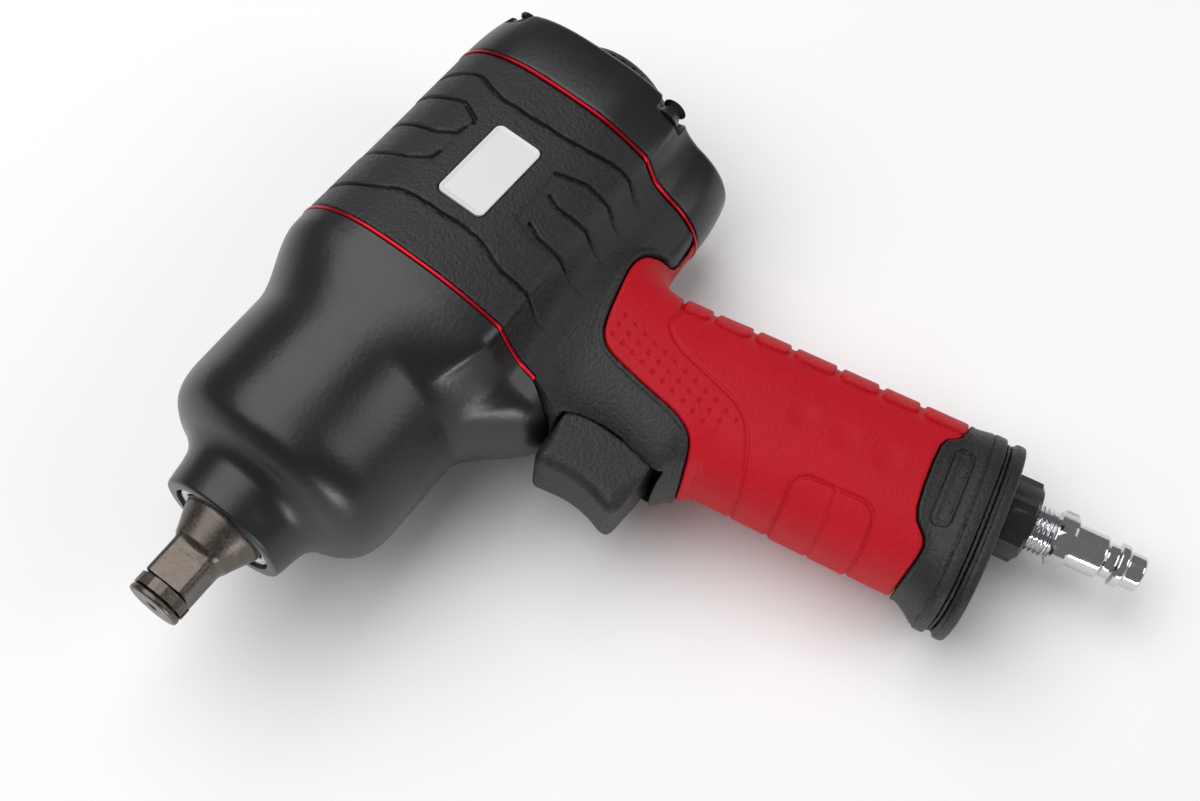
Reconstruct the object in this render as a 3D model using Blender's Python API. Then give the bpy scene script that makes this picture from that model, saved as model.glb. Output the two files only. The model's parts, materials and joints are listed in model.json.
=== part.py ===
"""Pneumatic impact wrench with a half-inch square drive, laid on its right side.

The tool is drawn in millimetres in its own frame: the barrel's axis is the line y = z = 0,
x points forward to the square drive, whose end face is at x = 0, y points to the tool's left
side and z points up, away from the handle. The handle has a frame of its own: w runs down the
leaning handle from the barrel's axis, u runs forward across it and y is shared.
"""

import math

import bmesh
import bpy
from mathutils import Matrix, Vector

MM = 0.001

# Clearances
GAP = 0.3                     # between pieces that touch
RUN_GAP = 0.4                 # round a piece that turns or slides
ODD_TURN = 0.13                # keeps the corners of round bars off those of their neighbours

# Square drive and anvil
DRIVE_AF = 12.7
DRIVE_CHAMFER = 1.3
DRIVE_FRONT = -6.3
DRIVE_BACK = -17.7
DRIVE_END_R = 7.6
DRIVE_CENTRE_R = 1.5
RING_GROOVE_R = 5.4
RING_GROOVE_BACK = -5.6
RING_GROOVE_FRONT = -1.9
ANVIL_SHAFT_R = 11.8
ANVIL_CORE_R = 8.6
ANVIL_LUG_R = 12.1
ANVIL_LUG_HALF_WIDTH = 3.6
ANVIL_JOURNAL_R = 5.2

# Hammer case
NOSE_X = -26.0
NOSE_R = 18.5
NOSE_BORE_R = 15.1
NOSE_LENGTH = 20.0            # from the nose's face to the back of the anvil's bush
BUSH_BACK = NOSE_X - NOSE_LENGTH
CASE_R = 33.8
CASE_WALL = 4.6
CAVITY_FRONT = BUSH_BACK - 3.5
CASE_LENGTH = 76.4
CASE_BACK = NOSE_X - CASE_LENGTH
LOBE_BOTTOM = 50.4            # how far the flange's lower lobe reaches below the axis
NECK_TOP = -41.0              # below this the housing's neck closes up to the hammer case
CHIN_REACH = 5.4              # how far the flange's lower rear corner is cut away

# Barrel sections at the two joints
FRONT_HALF_WIDTH = 37.2
FRONT_TOP = 39.1
REAR_HALF_WIDTH = 32.8
REAR_TOP = 38.8
SECTION_POWER = 2.7
SIDE_EDGE = 9                 # the section point where the flat side starts to turn under
SEAL_THICKNESS = 1.0
SEAL_PROUD = 0.25
HOUSING_LENGTH = 65.5
CAP_LENGTH = 18.9
CAP_TAPER = 0.94

# Stations from the hammer case to the rear cap
FRONT_SEAL_X = CASE_BACK - GAP
HOUSING_FRONT = FRONT_SEAL_X - SEAL_THICKNESS - GAP
HOUSING_BACK = HOUSING_FRONT - HOUSING_LENGTH
REAR_SEAL_X = HOUSING_BACK - GAP
CAP_FRONT = REAR_SEAL_X - SEAL_THICKNESS - GAP
CAP_BACK = CAP_FRONT - CAP_LENGTH

# Motor
LINER_R = 27.5
LINER_BORE_R = 22.6
LINER_OFFSET = 2.1
PLATE_THICKNESS = 4.7
ROTOR_R = 20.0
ROTOR_SHAFT_R = 5.2
VANE_COUNT = 6
VANE_THICKNESS = 1.7
VANE_DEPTH = 8.4
BEARING_OUTER_R = 11.0
BEARING_INNER_R = 5.5
RACE_THICKNESS = 2.2
BEARING_WIDTH = 6.7

# Hammers
CAGE_FRONT = CAVITY_FRONT - 0.8
CAGE_BACK = CASE_BACK + 5.6
CAGE_PLATE = 6.7
CAGE_WALL = 5.3
CAGE_WINDOW_HALF = 8.5
PIN_R = 3.0
PIN_CIRCLE_R = 23.8
HAMMER_R = 21.7
HAMMER_HOLE_R = 13.4
HAMMER_SWING = math.radians(2.0)

# Case screws, M5 socket head
SCREW_R = 2.4
SCREW_HEAD_R = 4.2
SCREW_HEAD_HEIGHT = 5.0
SCREW_SOCKET_AF = 4.0
SCREW_FRONT = CASE_BACK + 7.9
SCREW_SEAT = CAP_BACK + 5.4
SCREW_PLACES = ((20.5, 27.0), (-20.5, 27.0), (24.5, -22.8), (-24.5, -22.8))

# Power and direction dial
DIAL_R = 17.8
DIAL_HEIGHT = 10.0
DIAL_GAP = 0.6
SPOOL_R = 7.8

# Handle
HANDLE_LEAN = math.radians(12.0)
HANDLE_X = CASE_BACK - 14.3    # where the handle's axis meets the barrel's axis
GRIP_HALF_WIDTH = 19.0
GRIP_BACK = 24.4
GRIP_FRONT = 24.0
GRIP_FRONT_LOW = 25.8
RUBBER = 3.4
GRIP_END = 146.0
CORE_TOP = 42.0
CORE_END = GRIP_END - 6.5
BASE_END = GRIP_END + 10.5
BASE_HALF_WIDTH = 21.0
BASE_TOE = 31.0
DEFLECTOR_END = BASE_END + 5.5
CHAMBER_U = 13.5
CHAMBER_HALF_U = 9.0
CHAMBER_HALF_Y = 13.2

# Trigger and throttle
TRIGGER_HALF_WIDTH = 11.0
TRIGGER_TRAVEL = 4.5
TRIGGER_TOP = -51.4
TRIGGER_BOTTOM = -80.5
TRIGGER_BACK = CASE_BACK - 4.1
STEM_Z = -64.0
STEM_R = 2.5
STEM_BACK = TRIGGER_BACK - 25.1
VALVE_BORE_R = 8.4
VALVE_BORE_BACK = TRIGGER_BACK - 40.5
SEAT_FRONT = TRIGGER_BACK - 20.5
SEAT_THICKNESS = 4.6
POPPET_R = 5.5
POPPET_LENGTH = 5.0
SPRING_R = 4.2
SPRING_WIRE = 1.0
SPRING_TURNS = 3

# Air inlet
INLET_U = -7.8
INLET_SHANK_R = 8.1
INLET_HEX_AF = 20.0
INLET_HEX_END = DEFLECTOR_END + 9.0
INLET_TOP = CORE_END + 1.5
PLUG_THREAD_R = 6.58
PLUG_BORE_R = 3.6
PLUG_HEX_AF = 14.0
PLUG_END = INLET_HEX_END + 32.0

# Badge plate
BADGE_X = HOUSING_BACK + 32.5
BADGE_Z = 0.8
BADGE_LENGTH = 27.0
BADGE_HEIGHT = 14.5
BADGE_THICKNESS = 0.9
BADGE_PROUD = 0.25

# Sizes that follow from those above
FRONT_PLATE_X = HOUSING_FRONT - GAP
LINER_FRONT = FRONT_PLATE_X - PLATE_THICKNESS - GAP
REAR_PLATE_BACK = HOUSING_BACK + 1.5
LINER_BACK = REAR_PLATE_BACK + PLATE_THICKNESS + GAP
CAVITY_R = CASE_R - CASE_WALL
CAGE_R = CAVITY_R - RUN_GAP * 2
BUSH_R = NOSE_BORE_R - GAP
HAMMER_WIDTH = (CAGE_FRONT - CAGE_BACK - 2 * CAGE_PLATE - 3 * 1.3) / 2
TRIGGER_POCKET_BACK = TRIGGER_BACK - TRIGGER_TRAVEL - 1.0

# Finishes: colour, metallic, roughness
FINISHES = {
    "black_paint": ((0.016, 0.017, 0.020), 0.2, 0.32),
    "black_moulding": ((0.022, 0.023, 0.026), 0.0, 0.55),
    "black_rubber": ((0.012, 0.012, 0.013), 0.0, 0.6),
    "red_rubber": ((0.52, 0.012, 0.025), 0.0, 0.6),
    "red_anodised": ((0.42, 0.01, 0.03), 0.9, 0.3),
    "dark_steel": ((0.17, 0.15, 0.14), 1.0, 0.36),
    "bright_steel": ((0.55, 0.55, 0.56), 1.0, 0.3),
    "chrome": ((0.78, 0.78, 0.8), 1.0, 0.08),
    "bronze": ((0.5, 0.34, 0.18), 1.0, 0.4),
    "phenolic": ((0.28, 0.16, 0.08), 0.0, 0.5),
    "badge_white": ((0.8, 0.8, 0.8), 0.0, 0.4),
    "grey_felt": ((0.3, 0.3, 0.3), 0.0, 0.95),
}


# ---------------------------------------------------------------- scene and finishes

def clear_scene():
    """Remove every object that is already in the file."""
    for thing in list(bpy.data.objects):
        bpy.data.objects.remove(thing, do_unlink=True)


def finish_named(name):
    """Return the finish's material, made the first time it is asked for."""
    if name in bpy.data.materials:
        return bpy.data.materials[name]
    colour, metallic, roughness = FINISHES[name]
    material = bpy.data.materials.new(name)
    material.use_nodes = True
    shader = material.node_tree.nodes["Principled BSDF"]
    shader.inputs["Base Color"].default_value = (*colour, 1.0)
    shader.inputs["Metallic"].default_value = metallic
    shader.inputs["Roughness"].default_value = roughness
    return material


def add_empty(name, parent=None, at=(0.0, 0.0, 0.0)):
    """An empty in the tool's frame, placed in millimetres."""
    empty = bpy.data.objects.new(name, None)
    bpy.context.scene.collection.objects.link(empty)
    empty.parent = parent
    empty.location = Vector(at) * MM
    return empty


def add_solid(name, bm, finish=None, axis=None):
    """Turn a mesh drawn in millimetres into an object; without a finish it is a cutter or helper."""
    bmesh.ops.recalc_face_normals(bm, faces=bm.faces)
    bmesh.ops.scale(bm, vec=Vector((MM, MM, MM)), verts=bm.verts)
    mesh = bpy.data.meshes.new(name)
    bm.to_mesh(mesh)
    bm.free()
    mesh.shade_smooth()
    mesh.set_sharp_from_angle(angle=math.radians(32))
    solid = bpy.data.objects.new(name, mesh)
    bpy.context.scene.collection.objects.link(solid)
    solid.parent = axis or TOOL
    if axis:
        solid.location = -axis.location
    if finish:
        mesh.materials.append(finish_named(finish))
    else:
        solid.hide_render = True
        solid.display_type = "WIRE"
    return solid


def combine(solid, other, operation):
    """Join, cut or keep the common part with a Boolean modifier."""
    modifier = solid.modifiers.new(other.name, "BOOLEAN")
    modifier.operation = operation
    modifier.object = other
    return solid


def cut(solid, *cutters):
    """Cut every cutter out of the solid."""
    for cutter in cutters:
        combine(solid, cutter, "DIFFERENCE")
    return solid


# ---------------------------------------------------------------- frames

def on_barrel(y=0.0, z=0.0):
    """Place (along, across, up) along the barrel's axis, shifted to y and z."""
    return lambda along, across, up: Vector((along, y + across, z + up))


def on_handle(u=0.0, y=0.0):
    """Place (along w, across u, side y) in the handle's frame."""
    return lambda along, across, side: handle_point(u + across, y + side, along)


def handle_point(u, y, w):
    """A point of the handle's frame in the tool's frame."""
    lean_sin = math.sin(HANDLE_LEAN)
    lean_cos = math.cos(HANDLE_LEAN)
    return Vector((HANDLE_X - lean_sin * w + lean_cos * u, y, -lean_cos * w - lean_sin * u))


# ---------------------------------------------------------------- shapes

def skin(bm, rings):
    """Join rings of equal length with quads and close both ends with flat caps."""
    loops = [[bm.verts.new(point) for point in ring] for ring in rings]
    count = len(loops[0])
    for low, high in zip(loops, loops[1:]):
        for i in range(count):
            j = (i + 1) % count
            bm.faces.new((low[i], low[j], high[j], high[i]))
    bm.faces.new(loops[0])
    bm.faces.new(loops[-1])
    return bm


def loft(rings):
    """A closed solid through the rings."""
    return skin(bmesh.new(), rings)


def turned(profile, place, sides=20, turn=0.0):
    """Turn (along, radius) points; a profile that starts on the axis gives a solid, else a ring."""
    bm = bmesh.new()
    angles = [turn + 2 * math.pi * k / sides for k in range(sides)]
    loops = []
    for along, radius in profile:
        if radius == 0:
            loops.append([bm.verts.new(place(along, 0.0, 0.0))] * sides)
        else:
            loops.append([bm.verts.new(place(along, radius * math.cos(a), radius * math.sin(a)))
                          for a in angles])
    pairs = list(zip(loops, loops[1:]))
    if profile[0][1] > 0:
        pairs.append((loops[-1], loops[0]))
    for low, high in pairs:
        for i in range(sides):
            j = (i + 1) % sides
            corners = [low[i], low[j], high[j], high[i]]
            bm.faces.new(list(dict.fromkeys(corners)))
    return bm


def rod(front, back, radius, place, sides=12, turn=ODD_TURN):
    """A plain round bar between two stations, given smaller station first or last alike."""
    return turned([(front, 0), (front, radius), (back, radius), (back, 0)], place, sides, turn)


def tube(front, back, outer, inner, place, sides=20):
    """A plain round sleeve."""
    profile = [(front, inner), (front, outer), (back, outer), (back, inner)]
    return turned(profile, place, sides)


def hexagon(front, back, across_flats, place):
    """A hexagonal bar with its corners slightly turned down at both ends."""
    corner = across_flats / math.sqrt(3)
    chamfer = 0.06 * across_flats
    down = 1.0 if back > front else -1.0
    profile = [(front, 0), (front, corner - chamfer), (front + down * chamfer * 0.6, corner),
               (back - down * chamfer * 0.6, corner), (back, corner - chamfer), (back, 0)]
    return turned(profile, place, sides=6)


def slab(outline, low, high, place):
    """Extrude an outline of (a, b) points from low to high; place takes (extent, a, b)."""
    return loft([[place(level, a, b) for a, b in outline] for level in (low, high)])


def box(x, y, z):
    """A box given as three (low, high) pairs."""
    outline = [(y[0], z[0]), (y[1], z[0]), (y[1], z[1]), (y[0], z[1])]
    return slab(outline, x[0], x[1], on_barrel())


def rounded_box_outline(half_a, half_b, radius, centre=(0.0, 0.0), steps=3):
    """A rectangle with rounded corners as (a, b) points."""
    points = []
    for quarter in range(4):
        corner_a = (half_a - radius) * (1 if quarter in (0, 3) else -1)
        corner_b = (half_b - radius) * (1 if quarter in (0, 1) else -1)
        for k in range(steps + 1):
            angle = math.pi / 2 * (quarter + k / steps)
            points.append((centre[0] + corner_a + radius * math.cos(angle),
                           centre[1] + corner_b + radius * math.sin(angle)))
    return points


# ---------------------------------------------------------------- sections

def superellipse(half_a, half_b, power, angle):
    """A point of a superellipse; angle 0 is on the b axis."""
    sine = math.sin(angle)
    cosine = math.cos(angle)
    return (half_a * math.copysign(abs(sine) ** (2 / power), sine),
            half_b * math.copysign(abs(cosine) ** (2 / power), cosine))


def barrel_section(half_width, top, shoulder, valley, lobe_half_width, lobe_bottom):
    """The barrel's section: a squarish arch, a valley on each side and a round lobe below.

    Returns (y, z) points, the same number for any sizes, starting at the top and going round.
    """
    side = [superellipse(half_width, top, SECTION_POWER, math.radians(a))
            for a in (0, 12, 24, 34, 43, 52, 62, 76, 90, 103)]
    side.append(shoulder)
    side.append(valley)
    lobe_centre = lobe_bottom - lobe_half_width
    for degrees in (95, 60, 30):
        angle = math.radians(degrees)
        side.append((lobe_half_width * math.sin(angle),
                     -lobe_centre - lobe_half_width * math.cos(angle)))
    bottom = (0.0, -lobe_bottom)
    mirrored = [(-y, z) for y, z in reversed(side[1:])]
    return side + [bottom] + mirrored


def front_section():
    """The section at the joint between hammer case and motor housing."""
    return barrel_section(FRONT_HALF_WIDTH, FRONT_TOP, (FRONT_HALF_WIDTH - 4.0, -27.5),
                          (FRONT_HALF_WIDTH - 13.0, -33.6), 18.0, LOBE_BOTTOM)


def rear_section(scale=1.0):
    """The section at the joint between motor housing and rear cap."""
    points = barrel_section(REAR_HALF_WIDTH, REAR_TOP, (REAR_HALF_WIDTH - 4.6, -25.6),
                            (REAR_HALF_WIDTH - 11.6, -30.0), 17.0, 47.8)
    return [(y * scale, z * scale) for y, z in points]


def mixed(first, second, share):
    """Blend two sections of equal length."""
    return [(a[0] + (b[0] - a[0]) * share, a[1] + (b[1] - a[1]) * share)
            for a, b in zip(first, second)]


def barrel_ring(section, x):
    """Lift a section to station x."""
    return [Vector((x, y, z)) for y, z in section]


def handle_ring(w, front, back, half_width, power=2.5, sides=24):
    """A section across the handle between two u values."""
    middle = (front - back) / 2
    half_depth = (front + back) / 2
    points = [superellipse(half_depth, half_width, power, 2 * math.pi * (k + 0.5) / sides)
              for k in range(sides)]
    return [handle_point(middle + u, y, w) for u, y in points]


# ---------------------------------------------------------------- hammer case

def round_section(radius):
    """A round section with the same point directions as the front section."""
    lengths = [math.hypot(y, z) for y, z in front_section()]
    return [(y / size * radius, z / size * radius) for (y, z), size in zip(front_section(), lengths)]


def build_hammer_case():
    """Round nose, waist, cylinder and a flange that swells to the housing's section."""
    nose = [(NOSE_X, NOSE_R - 1.2), (NOSE_X - 1.2, NOSE_R), (NOSE_X - 7, NOSE_R + 0.9),
            (NOSE_X - 12, NOSE_R + 3.2), (NOSE_X - 15.5, CASE_R - 7.5), (NOSE_X - 18, CASE_R - 3.2),
            (NOSE_X - 21.5, CASE_R - 1.0), (NOSE_X - 27, CASE_R), (CASE_BACK + 27, CASE_R)]
    flare = [(22.5, 0.10), (18.5, 0.32), (14.5, 0.58), (10.5, 0.8), (6.5, 0.95), (3.0, 1.0), (0, 1.0)]
    rings = [barrel_ring(round_section(radius), x) for x, radius in nose]
    for ahead, share in flare:
        section = mixed(round_section(CASE_R), front_section(), share)
        rings.append(barrel_ring(section, CASE_BACK + ahead))
    case = add_solid("hammer_case", loft(rings), "black_paint")
    cavity = turned([(NOSE_X + 1, 0), (NOSE_X + 1, NOSE_BORE_R), (BUSH_BACK - GAP, NOSE_BORE_R),
                     (BUSH_BACK - GAP, ANVIL_SHAFT_R + 1.2), (CAVITY_FRONT, ANVIL_SHAFT_R + 1.2),
                     (CAVITY_FRONT, CAVITY_R), (CASE_BACK - 1, CAVITY_R), (CASE_BACK - 1, 0)],
                    on_barrel(), 24)
    chin = slab([(CASE_BACK - 6, NECK_TOP), (CASE_BACK, NECK_TOP), (CASE_BACK + CHIN_REACH, NECK_TOP - 11),
                 (CASE_BACK - 6, NECK_TOP - 11)], -30, 30, lambda y, x, z: Vector((x, y, z)))
    cut(case, add_solid("cut_case_cavity", cavity), add_solid("cut_case_chin", chin))
    for number, (y, z) in enumerate(SCREW_PLACES):
        hole = rod(SCREW_FRONT + 0.6, CASE_BACK - 1, SCREW_R + GAP, on_barrel(y, z), 8)
        cut(case, add_solid(f"cut_case_screw_{number}", hole))
    add_solid("anvil_bush", tube(NOSE_X - 0.8, BUSH_BACK, BUSH_R, ANVIL_SHAFT_R + RUN_GAP,
                                 on_barrel(), 24), "bright_steel")


# ---------------------------------------------------------------- anvil

def build_anvil():
    """The square drive, its shaft, the two lugs that the hammers strike and the socket ring."""
    half = DRIVE_AF / 2
    profile = [(-DRIVE_CENTRE_R, 0), (0, DRIVE_CENTRE_R), (0, DRIVE_END_R - 0.8), (-0.8, DRIVE_END_R),
               (RING_GROOVE_FRONT + 0.2, DRIVE_END_R), (RING_GROOVE_FRONT, RING_GROOVE_R),
               (RING_GROOVE_BACK, RING_GROOVE_R), (RING_GROOVE_BACK - 0.3, half - 0.2),
               (DRIVE_BACK + 1.0, half - 0.2), (DRIVE_BACK, half + 2.3),
               (NOSE_X + 0.5, ANVIL_SHAFT_R), (CAGE_FRONT - CAGE_PLATE - 1, ANVIL_SHAFT_R),
               (CAGE_FRONT - CAGE_PLATE - 1, ANVIL_CORE_R), (CAGE_BACK + CAGE_PLATE + 0.4, ANVIL_CORE_R),
               (CAGE_BACK + CAGE_PLATE + 0.4, ANVIL_JOURNAL_R),
               (CAGE_BACK + CAGE_PLATE - 2.6, ANVIL_JOURNAL_R), (CAGE_BACK + CAGE_PLATE - 2.6, 0)]
    anvil = add_solid("anvil", turned(profile, on_barrel(), 24, math.pi / 24), "dark_steel", ANVIL_AXIS)
    corner = half - DRIVE_CHAMFER
    square = [(half, -corner), (half, corner), (corner, half), (-corner, half),
              (-half, corner), (-half, -corner), (-corner, -half), (corner, -half)]
    drive = slab(square, DRIVE_FRONT, DRIVE_BACK - 1.5, on_barrel())
    combine(anvil, add_solid("join_drive_square", drive), "UNION")
    lug_back = CAGE_BACK + CAGE_PLATE + 1.2
    lug_front = CAGE_FRONT - CAGE_PLATE - 0.5
    lugs = []
    for start in (90, 270):
        for step in (-1.0, -0.5, 0.0, 0.5, 1.0):
            angle = math.radians(start) + step * math.asin(ANVIL_LUG_HALF_WIDTH / ANVIL_LUG_R)
            lugs.append((ANVIL_LUG_R * math.cos(angle), ANVIL_LUG_R * math.sin(angle)))
    combine(anvil, add_solid("join_anvil_lugs", slab(lugs, lug_front, lug_back, on_barrel())), "UNION")

    middle = (RING_GROOVE_FRONT + RING_GROOVE_BACK) / 2
    cord = [(middle + 0.55 * math.cos(a), RING_GROOVE_R + 0.9 + 0.55 * math.sin(a))
            for a in (k * math.pi / 3 for k in range(6))]
    add_solid("socket_ring_cord", turned(cord, on_barrel(), 20), "black_rubber", ANVIL_AXIS)
    ring = add_solid("socket_ring", tube(RING_GROOVE_FRONT - GAP, RING_GROOVE_BACK + GAP,
                                         DRIVE_END_R + 0.1, RING_GROOVE_R + 1.75, on_barrel(), 24),
                     "dark_steel", ANVIL_AXIS)
    split = box((RING_GROOVE_BACK - 1, RING_GROOVE_FRONT + 1), (-0.6, 0.6), (-12, -4))
    cut(ring, add_solid("cut_ring_split", split, axis=ANVIL_AXIS))


# ---------------------------------------------------------------- hammers

def build_hammers():
    """A cage driven by the rotor, two pins and two hammers that each rock on one pin."""
    bore = ANVIL_SHAFT_R + 0.9
    inner_front = CAGE_FRONT - CAGE_PLATE
    inner_back = CAGE_BACK + CAGE_PLATE
    profile = [(CAGE_FRONT, bore), (CAGE_FRONT, CAGE_R), (CAGE_BACK, CAGE_R),
               (CAGE_BACK, ROTOR_SHAFT_R + RUN_GAP), (inner_back, ROTOR_SHAFT_R + RUN_GAP),
               (inner_back, CAGE_R - CAGE_WALL), (inner_front, CAGE_R - CAGE_WALL), (inner_front, bore)]
    cage = add_solid("hammer_cage", turned(profile, on_barrel(), 24), "dark_steel", ROTOR_AXIS)
    window = box((inner_back + 0.2, inner_front - 0.2), (-CAGE_WINDOW_HALF, CAGE_WINDOW_HALF),
                 (-CAGE_R - 2, CAGE_R + 2))
    cut(cage, add_solid("cut_cage_window", window))
    for name, z in (("hammer_pin_1", PIN_CIRCLE_R), ("hammer_pin_2", -PIN_CIRCLE_R)):
        hole = rod(CAGE_FRONT + 1, CAGE_BACK - 1, PIN_R + GAP, on_barrel(0, z), 12)
        cut(cage, add_solid(f"cut_{name}", hole))
        pin = rod(CAGE_FRONT - 0.4, CAGE_BACK + 0.4, PIN_R, on_barrel(0, z), 12)
        add_solid(name, pin, "bright_steel", ROTOR_AXIS)
    front = inner_front - 1.3
    for name, z, axis in (("hammer_front", PIN_CIRCLE_R, HAMMER_FRONT_AXIS),
                          ("hammer_rear", -PIN_CIRCLE_R, HAMMER_REAR_AXIS)):
        back = front - HAMMER_WIDTH
        hammer = add_solid(name, tube(front, back, HAMMER_R, HAMMER_HOLE_R, on_barrel(), 24),
                           "dark_steel", axis)
        swing_room = 2 * PIN_CIRCLE_R * math.sin(HAMMER_SWING)
        pivot = rod(front + 1, back - 1, PIN_R + RUN_GAP, on_barrel(0, z), 12)
        slot = rod(front + 1, back - 1, PIN_R + swing_room + 2 * GAP, on_barrel(0, -z), 12)
        cut(hammer, add_solid(f"cut_{name}_pivot", pivot), add_solid(f"cut_{name}_slot", slot))
        front = back - 1.3


# ---------------------------------------------------------------- air motor

def build_bearing(name, front):
    """A ball bearing as its outer race, held still, and its inner race on the rotor's shaft."""
    back = front - BEARING_WIDTH
    add_solid(f"{name}_outer_race", tube(front, back, BEARING_OUTER_R, BEARING_OUTER_R - RACE_THICKNESS,
                                         on_barrel(), 24), "bright_steel")
    add_solid(f"{name}_inner_race", tube(front, back, BEARING_INNER_R + RACE_THICKNESS, BEARING_INNER_R,
                                         on_barrel(), 24), "bright_steel", ROTOR_AXIS)


def end_plate_profile(face, way):
    """An end plate with a bearing boss that points away from the liner; way is +1 forward."""
    boss_end = face + way * (PLATE_THICKNESS + 5.8)
    floor = face + way * 2.4
    outer = face + way * PLATE_THICKNESS
    return [(face, BEARING_OUTER_R - 2.7), (face, LINER_R), (outer, LINER_R),
            (outer, BEARING_OUTER_R + 2.4), (boss_end, BEARING_OUTER_R + 2.4),
            (boss_end, BEARING_OUTER_R + GAP), (floor, BEARING_OUTER_R + GAP),
            (floor, BEARING_OUTER_R - 2.7)]


def build_motor():
    """Liner, end plates, bearings, slotted rotor and vanes."""
    liner = add_solid("motor_liner", rod(LINER_FRONT, LINER_BACK, LINER_R, on_barrel(), 28),
                      "bright_steel")
    bore = rod(LINER_FRONT + 1, LINER_BACK - 1, LINER_BORE_R, on_barrel(0, LINER_OFFSET), 28)
    cut(liner, add_solid("cut_liner_bore", bore))
    length = LINER_FRONT - LINER_BACK
    for k in (1, 2, 3):
        port = rod(-LINER_R - 1, -LINER_R + 10, 2.6, lambda along, a, b, x=LINER_FRONT - length * k / 4:
                   Vector((x + a, b, along)), 8)
        cut(liner, add_solid(f"cut_liner_port_{k}", port))
    add_solid("front_end_plate", turned(end_plate_profile(LINER_FRONT + GAP, 1), on_barrel(), 24),
              "bright_steel")
    add_solid("rear_end_plate", turned(end_plate_profile(LINER_BACK - GAP, -1), on_barrel(), 24),
              "bright_steel")
    build_bearing("front_bearing", LINER_FRONT + GAP + 2.4 + GAP + BEARING_WIDTH)
    build_bearing("rear_bearing", LINER_BACK - GAP - 2.4 - GAP)

    rotor_front = LINER_FRONT - 0.4
    rotor_back = LINER_BACK + 0.4
    shaft_front = CAGE_BACK + 2.9
    shaft_back = LINER_BACK - 10.8
    profile = [(shaft_front, 0), (shaft_front, ROTOR_SHAFT_R), (rotor_front, ROTOR_SHAFT_R),
               (rotor_front, ROTOR_R), (rotor_back, ROTOR_R), (rotor_back, ROTOR_SHAFT_R),
               (shaft_back, ROTOR_SHAFT_R), (shaft_back, 0)]
    rotor = add_solid("rotor", turned(profile, on_barrel(), 28), "bright_steel", ROTOR_AXIS)
    floor = ROTOR_R - VANE_DEPTH - 2 * GAP
    half_slot = VANE_THICKNESS / 2 + GAP
    half_vane = VANE_THICKNESS / 2
    for k in range(VANE_COUNT):
        spin = Matrix.Rotation(2 * math.pi * (k + 0.5) / VANE_COUNT, 4, "X")
        slot = box((rotor_back - 1, rotor_front + 1), (-half_slot, half_slot), (floor, ROTOR_R + 2))
        bmesh.ops.transform(slot, matrix=spin, verts=slot.verts)
        cut(rotor, add_solid(f"cut_slot_{k + 1}", slot))
        vane = box((rotor_back + 0.2, rotor_front - 0.2), (-half_vane, half_vane),
                   (ROTOR_R - VANE_DEPTH - GAP, ROTOR_R - GAP))
        bmesh.ops.transform(vane, matrix=spin, verts=vane.verts)
        add_solid(f"vane_{k + 1}", vane, "phenolic", ROTOR_AXIS)


# ---------------------------------------------------------------- motor housing and grip

def neck_rings():
    """Handle sections from inside the barrel down past the trigger, then the plain grip."""
    low = GRIP_FRONT_LOW
    stations = [(20, 31, 38, 17.5), (36, 28.5, 35, 18.6), (46, 27.0, 31, GRIP_HALF_WIDTH),
                (53, 25.8, 27.2, GRIP_HALF_WIDTH), (61, 26.2, GRIP_BACK + 0.2, GRIP_HALF_WIDTH),
                (69, 29.2, GRIP_BACK, GRIP_HALF_WIDTH), (75.5, 32.6, GRIP_BACK, GRIP_HALF_WIDTH),
                (79.5, 32.0, GRIP_BACK, GRIP_HALF_WIDTH), (82.5, 26.0, GRIP_BACK, GRIP_HALF_WIDTH),
                (86, GRIP_FRONT - 0.8, GRIP_BACK, GRIP_HALF_WIDTH),
                (115, (GRIP_FRONT + low) / 2, GRIP_BACK, GRIP_HALF_WIDTH),
                (GRIP_END + 6, low, GRIP_BACK, GRIP_HALF_WIDTH)]
    return [handle_ring(*station) for station in stations]


def core_ring(w, grow=0.0):
    """The section of the stiff core that the rubber grip wraps."""
    inset = RUBBER - grow
    share = (w - CORE_TOP) / (GRIP_END - CORE_TOP)
    front = GRIP_FRONT + (GRIP_FRONT_LOW - GRIP_FRONT) * share
    return handle_ring(w, front - inset, GRIP_BACK - inset, GRIP_HALF_WIDTH - inset, 2.5, 20)


def grip_outline(shift=0.0):
    """The rubber's edge seen from the side, as (u, w); shift moves it off its neighbours."""
    top = [(-45, 52.5), (-27, 50.4), (-21.8, 48.4), (-13, 47.3), (-3, 46.9), (2.6, 49.4),
           (6.5, 55.0), (9.7, 63.4), (13.4, 74.1), (17.5, 80.0), (24.4, 82.3), (45, 84.0)]
    bottom = [(45, GRIP_END - 3.4), (27, GRIP_END - 1.5), (21, GRIP_END), (17.5, GRIP_END - 1.0),
              (11.5, GRIP_END - 5.4), (-9.9, GRIP_END - 5.8), (-15, GRIP_END - 1.5),
              (-24, GRIP_END + 0.2), (-45, GRIP_END + 0.5)]
    return [(u, w - shift) for u, w in top] + [(u, w + shift) for u, w in bottom]


def side_slab(outline, half_width=40):
    """Extrude a (u, w) outline right across the handle."""
    return slab(outline, -half_width, half_width, lambda y, u, w: handle_point(u, y, w))


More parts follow.
